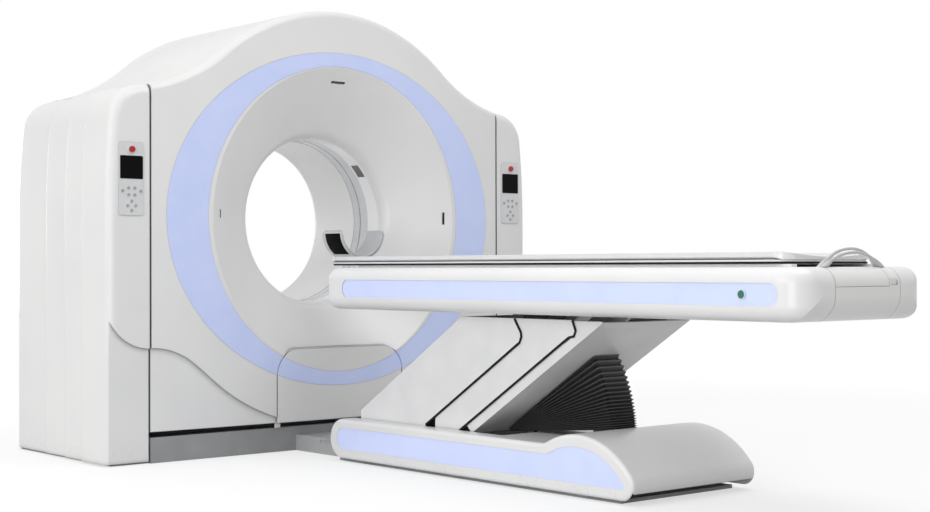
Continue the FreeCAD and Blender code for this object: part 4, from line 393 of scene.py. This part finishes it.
# Cables at the foot end, with their strain reliefs.
cableSettings = {
    "diameter": 0.009, "roundSteps": 6, "alongSteps": 12,
    "routes": {
        "cable_1": ((-0.128, -2.900, 0.757), (-0.086, -2.898, 0.778), (-0.025, -2.895, 0.790),
                    (0.040, -2.896, 0.791), (0.092, -2.900, 0.774), (0.116, -2.902, 0.757)),
        "cable_2": ((-0.126, -2.882, 0.758), (-0.082, -2.878, 0.784), (-0.020, -2.874, 0.800),
                    (0.045, -2.874, 0.803), (0.098, -2.878, 0.786), (0.122, -2.882, 0.760)),
    },
    "lengths": {"cable_1": 0.258, "cable_2": 0.270},
}


def addCable(node, points, s):
    curve = bpy.data.curves.new(node + "Jacket", "CURVE")
    curve.dimensions = "3D"
    curve.bevel_depth = s["diameter"] / 2
    curve.bevel_resolution = s["roundSteps"]
    curve.resolution_u = s["alongSteps"]
    curve.use_fill_caps = True
    spline = curve.splines.new("NURBS")
    spline.points.add(len(points) - 1)
    for point, place in zip(spline.points, points):
        point.co = (*place, 1)
    spline.order_u = 3
    spline.use_endpoint_u = True
    curve.materials.append(pvcGrey)
    piece = bpy.data.objects.new(node + "Jacket", curve)
    scene.collection.objects.link(piece)
    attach(piece, "table_top")
    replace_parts(piece, node)
    return piece


reliefSettings = {
    "wide": 0.0085, "tip": 0.0053, "length": 0.030, "sunk": 0.007, "sides": 28,
    "rings": (0.42, 0.56, 0.70, 0.84), "ringHalf": 0.0006, "ringInset": 0.0002, "ringDepth": 0.0009,
    "rimRadius": 0.0006, "smoothAngle": 40,
}


def makeRelief(name, start, second, s):
    # A moulded cone with ring cuts, turned along the cable's first stretch.
    bm = bmesh.new()
    bmesh.ops.create_cone(bm, cap_ends=True, segments=s["sides"], radius1=s["wide"], radius2=s["tip"],
                          depth=s["length"])
    for share in s["rings"]:
        level = (share - 0.5) * s["length"]
        for offset in (-s["ringHalf"], s["ringHalf"]):
            cutAcross(bm, (0, 0, level + offset), (0, 0, 1))
        groove = [face for face in bm.faces if abs(face.calc_center_median().z - level) < s["ringHalf"] / 2]
        bmesh.ops.inset_region(bm, faces=groove, thickness=s["ringInset"], depth=-s["ringDepth"])
    top = s["length"] / 2
    rims = [edge for edge in bm.edges if all(abs(vert.co.z - top) < planeDistance for vert in edge.verts)]
    roundOff(bm, rims, s["rimRadius"], 2)
    along = (Vector(second) - Vector(start)).normalized()
    turn = along.to_track_quat("Z", "Y").to_matrix().to_4x4()
    centre = Vector(start) + along * (s["length"] / 2 - s["sunk"])
    bmesh.ops.transform(bm, matrix=Matrix.Translation(centre) @ turn, verts=bm.verts)
    return newPiece(name, finishMesh(bm, name, s["smoothAngle"]), pvcGrey, "table_top")


for node, points in cableSettings["routes"].items():
    ends = {"Left": (points[0], points[1]), "Right": (points[-1], points[-2])}
    reliefs = [makeRelief(node + "Relief" + side, *pair, reliefSettings) for side, pair in ends.items()]
    if node == "cable_1":
        reliefs.append(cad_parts["cable_glands"])
    addCable(node, points, cableSettings)
print("cables laid")


# Bellows under the column, over the lift actuator. Angles are in degrees.
bellowsSettings = {
    "apex": (0, -1.434, 0.155), "low": 4.88, "high": 32.9, "pleats": 19, "growth": 1.07,
    "half": 0.065, "fold": 0.007, "root": 0.024, "reach": 0.540, "corner": 0.010, "cornerSteps": 4,
    "blendBelow": 0.04, "blendAbove": 0.27, "smoothAngle": 32,
}


def makeBellows(s):
    # A fan of U-shaped folds about the apex, each one opened from the last.
    bm = bmesh.new()
    bmesh.ops.create_grid(bm, x_segments=1, y_segments=1, size=0.5)
    apex = Vector(s["apex"])
    length = s["reach"] - s["root"]
    bmesh.ops.scale(bm, vec=(2 * s["half"], length, 1), verts=bm.verts)
    bmesh.ops.translate(bm, vec=(0, -s["root"] - length / 2, 0), verts=bm.verts)
    farEnd = [vert for vert in bm.verts if vert.co.y < -s["root"] - length / 2]
    roundOff(bm, farEnd, s["corner"], s["cornerSteps"], "VERTICES")
    turned = s["low"]
    bmesh.ops.translate(bm, vec=apex, verts=bm.verts)
    bmesh.ops.rotate(bm, cent=apex, matrix=Matrix.Rotation(-math.radians(turned), 3, "X"), verts=bm.verts)
    step = (s["high"] - s["low"]) * (s["growth"] - 1) / (s["growth"] ** s["pleats"] - 1)
    inside = Vector((1 - s["fold"] / s["half"], (length - s["fold"]) / length, 1))
    outside = Vector((1 / inside.x, 1 / inside.y, 1))
    leaf = list(bm.faces)
    # ridge is 1 on the folds' ridges and 0 in their valleys; it masks the cloth's painted highlight and shade
    ridge = bm.verts.layers.float_color.new("ridge")
    for vert in bm.verts:
        vert[ridge] = (1, 1, 1, 1)
    for index in range(1, 2 * s["pleats"] + 1):
        lifted = bmesh.ops.extrude_face_region(bm, geom=leaf)["geom"]
        leaf = [item for item in lifted if isinstance(item, bmesh.types.BMFace)]
        rim = leaf[0].verts[:]
        bmesh.ops.rotate(bm, cent=apex, matrix=Matrix.Rotation(-math.radians(step / 2), 3, "X"), verts=rim)
        turned += step / 2
        flat = Matrix.Translation((0, s["root"], 0)) @ Matrix.Rotation(math.radians(turned), 4, "X")
        flat = flat @ Matrix.Translation(-apex)
        bmesh.ops.scale(bm, vec=inside if index % 2 else outside, space=flat, verts=rim)
        for vert in rim:
            vert[ridge] = (0, 0, 0, 1) if index % 2 else (1, 1, 1, 1)
        if index % 2 == 0:
            step *= s["growth"]
    # the lift's tube and rod run up the hollow middle
    inner = [face for face in bm.faces if all(len(edge.link_faces) > 2 for edge in face.edges)]
    bmesh.ops.delete(bm, geom=inner, context="FACES_ONLY")
    print("bellows leaves opened:", len(inner))
    mesh = finishMesh(bm, "bellowsPleats", s["smoothAngle"])
    return newPiece("bellowsPleats", mesh, pleatCloth, None)


pleatCloth = makePleatCloth("pleatedCloth", "#626263", "#0B0B0C")
bellows = makeBellows(bellowsSettings)
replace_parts(bellows, "bellows")
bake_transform(bellows)
print("bellows folded")


# Head pad, a cushion that lies in the head holder.
padSettings = {
    "voxel": 0.004, "smoothSteps": 6, "smoothFactor": 0.5, "shrink": 0.0016, "swell": 0.0022,
    "pressure": 4.0, "frames": 20, "quality": 6, "mass": 0.3, "stretchStiffness": 30, "bendStiffness": 2,
    "smoothAngle": 60,
}


def takeMesh(piece):
    # The mesh as the piece's modifiers leave it. The piece itself goes.
    mesh = bpy.data.meshes.new_from_object(piece.evaluated_get(bpy.context.evaluated_depsgraph_get()))
    bpy.data.objects.remove(piece)
    return mesh


def makePadForm(s):
    # The CAD pad's form in small even faces.
    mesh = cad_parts["head_pad"].data.copy()
    bm = bmesh.new()
    bm.from_mesh(mesh)
    bmesh.ops.remove_doubles(bm, verts=bm.verts, dist=cadWeldDistance)
    bmesh.ops.recalc_face_normals(bm, faces=bm.faces)
    bm.to_mesh(mesh)
    bm.free()
    piece = bpy.data.objects.new("headPadForm", mesh)
    scene.collection.objects.link(piece)
    remesh = piece.modifiers.new("Remesh", "REMESH")
    remesh.mode = "VOXEL"
    remesh.voxel_size = s["voxel"]
    smooth = piece.modifiers.new("Smooth", "SMOOTH")
    smooth.iterations = s["smoothSteps"]
    smooth.factor = s["smoothFactor"]
    return takeMesh(piece)


def blowUp(mesh, s):
    # Foam in a stretched skin: pulled in a little and blown up again as cloth.
    form = [vert.co.copy() for vert in mesh.vertices]
    for vert in mesh.vertices:
        vert.co -= vert.normal * s["shrink"]
    piece = bpy.data.objects.new("headPadCloth", mesh)
    scene.collection.objects.link(piece)
    cloth = piece.modifiers.new("Cloth", "CLOTH")
    cloth.settings.quality = s["quality"]
    cloth.settings.mass = s["mass"]
    cloth.settings.tension_stiffness = s["stretchStiffness"]
    cloth.settings.compression_stiffness = s["stretchStiffness"]
    cloth.settings.bending_stiffness = s["bendStiffness"]
    cloth.settings.use_pressure = True
    cloth.settings.uniform_pressure_force = s["pressure"]
    cloth.settings.effector_weights.gravity = 0
    cloth.point_cache.frame_end = s["frames"]
    for number in range(1, s["frames"] + 1):
        scene.frame_set(number)
    blown = takeMesh(piece)
    scene.frame_set(1)
    furthest = 0
    for vert, start in zip(blown.vertices, form):
        move = vert.co - start
        furthest = max(furthest, move.length)
        vert.co = start + move * min(1.0, s["swell"] / max(move.length, 1e-9))
    print("head pad cloth moved up to", round(furthest * 1000, 2), "mm")
    return blown


def makeHeadPad(s):
    mesh = makePadForm(s)
    mesh = blowUp(mesh, s)
    bm = bmesh.new()
    bm.from_mesh(mesh)
    bmesh.ops.smooth_vert(bm, verts=bm.verts, factor=0.5, use_axis_x=True, use_axis_y=True, use_axis_z=True)
    skin = finishMesh(bm, "headPad", s["smoothAngle"])
    return newPiece("headPad", skin, foamSkin, "cradle_slide")


headPad = makeHeadPad(padSettings)
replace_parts(headPad, "head_pad")
print("head pad made")


# Hook patches on the outside of the head holder's ears.
hookSettings = {"axisZ": 0.896, "inner": 0.1119, "outer": 0.1132, "rear": -0.484, "front": -0.382,
                "from": 4, "to": 55, "steps": 24, "rimRadius": 0.0004}


def makeHookPatch(name, side, s):
    bm = bmesh.new()
    corners = [bm.verts.new((side * radius, y, s["axisZ"])) for radius, y in (
        (s["inner"], s["rear"]), (s["outer"], s["rear"]), (s["outer"], s["front"]), (s["inner"], s["front"]))]
    bm.faces.new(corners)
    axis = (0, side, 0)
    middle = (0, 0, s["axisZ"])
    turn = Matrix.Rotation(math.radians(s["from"]), 3, axis)
    bmesh.ops.rotate(bm, cent=middle, matrix=turn, verts=bm.verts)
    bmesh.ops.spin(bm, geom=bm.verts[:] + bm.edges[:] + bm.faces[:], cent=middle, axis=axis,
                   angle=math.radians(s["to"] - s["from"]), steps=s["steps"], use_merge=False)
    roundOff(bm, sharpEdges(bm), s["rimRadius"], 2)
    return newPiece(name, finishMesh(bm, name), looseHook, "cradle_slide")


for word, side in bothSides:
    makeHookPatch("hookPatch" + word, side, hookSettings)
print("hook patches on")


# Rubber wipers on the rear edges of the telescoping column covers. Each body has its wipers' inner and
# outer x, then the edge that they follow as (y, z).
wiperSettings = {
    "over": 0.0065, "past": 0.0015, "inside": 0.0001, "rimRadius": 0.0008,
    "edges": {
        "front_arm_pair": (0.219, 0.2231, ((-1.1707, 0.1669), (-1.6838, 0.4875), (-1.6938, 0.5095),
                                          (-1.6918, 0.5255), (-1.6588, 0.573))),
        "middle_links": (0.215, 0.2186, ((-1.2859, 0.1152), (-1.9219, 0.5126), (-1.9459, 0.5176),
                                        (-1.9549, 0.5386), (-1.9399, 0.573))),
    },
}


def makeWiper(name, side, inner, outer, line, body, s):
    # A flat strip with rounded edges along the sheet's edge.
    bm = bmesh.new()
    flat = [Vector((0, y, z)) for y, z in line]
    stations = []
    for index, place in enumerate(flat):
        before, after = flat[max(index - 1, 0)], flat[min(index + 1, len(flat) - 1)]
        run = (after - before).normalized()
        inward = Vector((0, run.z, -run.y))
        stations.append((place, inward))
    rows = []
    for reach in (-s["past"], s["over"]):
        row = [bm.verts.new(place + inward * reach + Vector((side * (inner - s["inside"]), 0, 0)))
               for place, inward in stations]
        rows.append([bm.edges.new(pair) for pair in zip(row, row[1:])])
    bmesh.ops.bridge_loops(bm, edges=rows[0] + rows[1])
    thick = outer - inner + s["inside"]
    lifted = bmesh.ops.extrude_face_region(bm, geom=bm.faces[:], use_keep_orig=True)["geom"]
    bmesh.ops.translate(bm, vec=(side * thick, 0, 0), verts=vertsOf(lifted))
    bmesh.ops.recalc_face_normals(bm, faces=bm.faces)
    roundOff(bm, sharpEdges(bm), s["rimRadius"], 3)
    return newPiece(name, finishMesh(bm, name), wiperRubber, body)


for body, (inner, outer, line) in wiperSettings["edges"].items():
    for word, side in bothSides:
        makeWiper(body + "Wiper" + word, side, inner, outer, line, body, wiperSettings)
print("wipers on")


# Dark rubber strips in the cradle's gaps, painted shade standing in for the gaps' shadow lines (half width,
# bottom, top), and a rubber seal in the scan window (inner, outer, width).
sealAndShadeStripSettings = {
    "cradle": {"low": (0.2175, 0.7573, 0.7638), "high": (0.2150, 0.7698, 0.7722)},
    "head": -0.5525, "foot": -2.8175, "corner": 0.050, "cornerSteps": 8, "thick": 0.003,
    "windowY": -0.001, "windowRing": (0.3532, 0.3556, 0.0036), "windowSteps": 96, "boreHeight": 0.952,
}


def makeCradleShadeStrip(name, half, low, high, s):
    # A dark strip round the cradle's gap: painted shade in place of the gap's shadow.
    bm = bmesh.new()
    bmesh.ops.create_grid(bm, x_segments=1, y_segments=1, size=0.5)
    bmesh.ops.scale(bm, vec=(2 * half, s["head"] - s["foot"], 1), verts=bm.verts)
    roundOff(bm, bm.verts[:], s["corner"], s["cornerSteps"], "VERTICES")
    bmesh.ops.translate(bm, vec=(0, (s["head"] + s["foot"]) / 2, low), verts=bm.verts)
    ring = bmesh.ops.extrude_edge_only(bm, edges=[edge for edge in bm.edges if edge.is_boundary])["geom"]
    bmesh.ops.translate(bm, vec=(0, 0, high - low), verts=vertsOf(ring))
    bmesh.ops.delete(bm, geom=[face for face in bm.faces if len(face.verts) > 4], context="FACES")
    bmesh.ops.recalc_face_normals(bm, faces=bm.faces)
    bmesh.ops.solidify(bm, geom=bm.faces[:], thickness=s["thick"])
    return newPiece(name, finishMesh(bm, name), wiperRubber, "cradle_slide")


for word, (half, low, high) in sealAndShadeStripSettings["cradle"].items():
    makeCradleShadeStrip("cradleShadeStrip" + word.title(), half, low, high, sealAndShadeStripSettings)


def makeWindowSeal(s):
    inner, outer, wide = s["windowRing"]
    section = ((inner, -wide / 2), (outer, -wide / 2), (outer, wide / 2), (inner, wide / 2))
    points = [(radius, s["windowY"] + offset, s["boreHeight"]) for radius, offset in section]
    bm = spinProfile(points, (0, 0, s["boreHeight"]), (0, 1, 0), s["windowSteps"])
    mesh = finishMesh(bm, "windowSeal")
    return newPiece("windowSeal", mesh, wiperRubber, "tilting_gantry")


makeWindowSeal(sealAndShadeStripSettings)
print("seals in")


# Key caps on the control panels.
keySettings = {
    "plateX": 0.9675, "plateTop": -0.3245, "radius": 0.0064, "height": 0.0011, "sunk": 0.0002, "sides": 32,
    "rimRadius": 0.0004, "dishInset": 0.0016, "dishDepth": 0.0003, "smoothAngle": 30,
    "facingUp": 0.99,
    "keys": ((-0.038, 1.042), (0.038, 1.042), (-0.013, 1.053), (0.013, 1.053), (-0.013, 1.027),
             (0.013, 1.027), (0, 1.003), (-0.017, 0.986), (0.017, 0.986), (0, 0.968)),
}


def makeCap(name, x, z, s):
    # A low button with a dished face.
    bm = bmesh.new()
    bmesh.ops.create_cone(bm, cap_ends=True, segments=s["sides"], radius1=s["radius"], radius2=s["radius"],
                          depth=s["height"])
    top = [face for face in bm.faces if face.normal.z > s["facingUp"]]
    roundOff(bm, top[0].edges[:], s["rimRadius"], 3)
    top = [face for face in bm.faces if face.normal.z > s["facingUp"] and len(face.verts) == s["sides"]]
    bmesh.ops.inset_region(bm, faces=top, thickness=s["dishInset"], depth=-s["dishDepth"])
    place = Matrix.Translation((x, s["plateTop"] - s["height"] / 2 + s["sunk"], z))
    turn = Matrix.Rotation(math.radians(90), 4, "X")
    bmesh.ops.transform(bm, matrix=place @ turn, verts=bm.verts)
    return newPiece(name, finishMesh(bm, name, s["smoothAngle"]), keyPrint, "root")


# Collars round the stop buttons and a bezel round the release button.
collarSettings = {
    "stop": {"x": 0.9675, "y": -0.323, "z": 1.200, "inner": 0.0118, "outer": 0.0165, "high": 0.0032},
    "release": {"place": (-0.3152, -2.734, 0.669), "inner": 0.0124, "outer": 0.0158, "high": 0.0016},
    "sunk": 0.0006, "shoulder": 0.55, "crownOut": 0.0012, "crownIn": 0.0006, "chamfer": 0.0005, "steps": 48,
    "smoothAngle": 40,
}


def makeCollar(name, centre, axis, ring, material, body, s):
    # A turned ring with a rounded crown, standing on the surface that centre lies on.
    inner, outer, high = ring["inner"], ring["outer"], ring["high"]
    section = ((inner, -s["sunk"]), (outer, -s["sunk"]), (outer, high * s["shoulder"]),
               (outer - s["crownOut"], high), (inner + s["crownIn"], high), (inner, high - s["chamfer"]))
    bm = spinProfile([(radius, 0, level) for radius, level in section], (0, 0, 0), (0, 0, 1), s["steps"])
    turn = Matrix.Translation(centre) @ Vector(axis).to_track_quat("Z", "Y").to_matrix().to_4x4()
    bmesh.ops.transform(bm, matrix=turn, verts=bm.verts)
    return newPiece(name, finishMesh(bm, name, s["smoothAngle"]), material, body)


stop, release = collarSettings["stop"], collarSettings["release"]
for word, side in bothSides:
    for index, (x, z) in enumerate(keySettings["keys"]):
        makeCap("keyCap" + word + str(index + 1), side * (keySettings["plateX"] + x), z, keySettings)
    makeCollar("stopCollar" + word, (side * stop["x"], stop["y"], stop["z"]), (0, -1, 0), stop, keyFilm,
               "root", collarSettings)
makeCollar("releaseBezel", release["place"], (-1, 0, 0), release, metalWhite, "table_top",
           collarSettings)
print("keys and collars set")


# Floor and light. A lamp is its name, place, target, size and power.
lightSettings = {
    "world": 0.86, "footEnd": 0.5,
    "floorLit": "#ACACAC", "floorNear": "#A8A8A8", "floorHalf": 40, "glow": 0.6,
    "fade": (2.2, 5.0), "fadeCentre": (0, -1.0, 0),
    "lamps": (
        ("keyLeft", (-7.0, -1.8, 2.8), (0, -0.8, 0.7), 4.5, 122),
        ("lowLeft", (-4.5, -5.0, 0.7), (0, -1.8, 0.3), 2.2, 60),
        ("frontTop", (0.4, -3.3, 4.6), (0, -0.4, 1.2), 2.5, 44),
        ("rearSoft", (-0.8, 4.2, 1.3), (0.1, 0.1, 0.95), 1.6, 34),
        ("topBox", (0.5, -1.0, 5.4), (0, -0.8, 0.0), 4.5, 12),
    ),
}


def addFloor(s):
    bm = bmesh.new()
    bmesh.ops.create_grid(bm, x_segments=1, y_segments=1, size=s["floorHalf"])
    mesh = bpy.data.meshes.new("studioFloor")
    bm.to_mesh(mesh)
    bm.free()
    floor = bpy.data.objects.new("studioFloor", mesh)
    scene.collection.objects.link(floor)
    # Lit by the lamps for the object's sake, but seen as a white sweep that keeps the object's soft shadow.
    material, tree, shader, place = newMaterial("studioFloor", {
        "Base Color": linear(s["floorLit"]), "Roughness": 0.9})
    near = addNode(tree, "ShaderNodeBsdfDiffuse", values={"Color": linear(s["floorNear"])})
    glow = addNode(tree, "ShaderNodeEmission", values={"Color": (1, 1, 1, 1), "Strength": s["glow"]})
    lit = addNode(tree, "ShaderNodeAddShader", links={0: near.outputs["BSDF"], 1: glow.outputs["Emission"]})
    far = addNode(tree, "ShaderNodeEmission", values={"Color": (1, 1, 1, 1), "Strength": 1.0})
    out = addNode(tree, "ShaderNodeVectorMath", {"operation": "DISTANCE"}, {1: s["fadeCentre"]}, {0: place})
    fade = addNode(tree, "ShaderNodeMapRange", {"interpolation_type": "SMOOTHSTEP"},
                   {"From Min": s["fade"][0], "From Max": s["fade"][1]}, {"Value": out.outputs["Value"]})
    shown = addNode(tree, "ShaderNodeMixShader",
                    links={"Fac": fade.outputs["Result"], 1: lit.outputs["Shader"],
                           2: far.outputs["Emission"]})
    rays = addNode(tree, "ShaderNodeLightPath")
    seen = addNode(tree, "ShaderNodeMath", {"operation": "MAXIMUM"},
                   links={0: rays.outputs["Is Camera Ray"], 1: rays.outputs["Is Glossy Ray"]})
    seen = addNode(tree, "ShaderNodeMath", {"operation": "MAXIMUM"},
                   links={0: seen.outputs["Value"], 1: rays.outputs["Is Transmission Ray"]})
    mixed = addNode(tree, "ShaderNodeMixShader",
                    links={"Fac": seen.outputs["Value"], 1: shader.outputs["BSDF"],
                           2: shown.outputs["Shader"]})
    tree.links.new(mixed.outputs["Shader"], tree.nodes["Material Output"].inputs["Surface"])
    mesh.materials.append(material)


def addWorld(s):
    world = bpy.data.worlds.new("studio")
    scene.world = world
    world.use_nodes = True
    tree = world.node_tree
    soft = tree.nodes["Background"]
    soft.inputs["Color"].default_value = (1, 1, 1, 1)
    # the room is a little darker towards the foot end
    sky = addNode(tree, "ShaderNodeTexCoord")
    way = addNode(tree, "ShaderNodeSeparateXYZ", links={"Vector": sky.outputs["Generated"]})
    level = addNode(tree, "ShaderNodeMapRange",
                    values={"From Min": -1.0, "From Max": 0.2, "To Min": s["footEnd"], "To Max": s["world"]},
                    links={"Value": way.outputs["Y"]})
    tree.links.new(level.outputs["Result"], soft.inputs["Strength"])
    shown = addNode(tree, "ShaderNodeBackground", values={"Color": (1, 1, 1, 1), "Strength": 1.0})
    rays = addNode(tree, "ShaderNodeLightPath")
    mixed = addNode(tree, "ShaderNodeMixShader",
                    links={"Fac": rays.outputs["Is Camera Ray"], 1: soft.outputs["Background"],
                           2: shown.outputs["Background"]})
    tree.links.new(mixed.outputs["Shader"], tree.nodes["World Output"].inputs["Surface"])


def addLamps(s):
    for name, place, target, size, power in s["lamps"]:
        data = bpy.data.lights.new(name, "AREA")
        data.shape = "DISK"
        data.size = size
        data.energy = power
        lamp = bpy.data.objects.new(name, data)
        lamp.location = place
        lamp.visible_camera = False
        lamp.rotation_euler = (Vector(target) - Vector(place)).to_track_quat("-Z", "Y").to_euler()
        scene.collection.objects.link(lamp)


addFloor(lightSettings)
addWorld(lightSettings)
addLamps(lightSettings)
scene.view_settings.view_transform = "Standard"
print("stage lit")

bpy.context.view_layer.update()
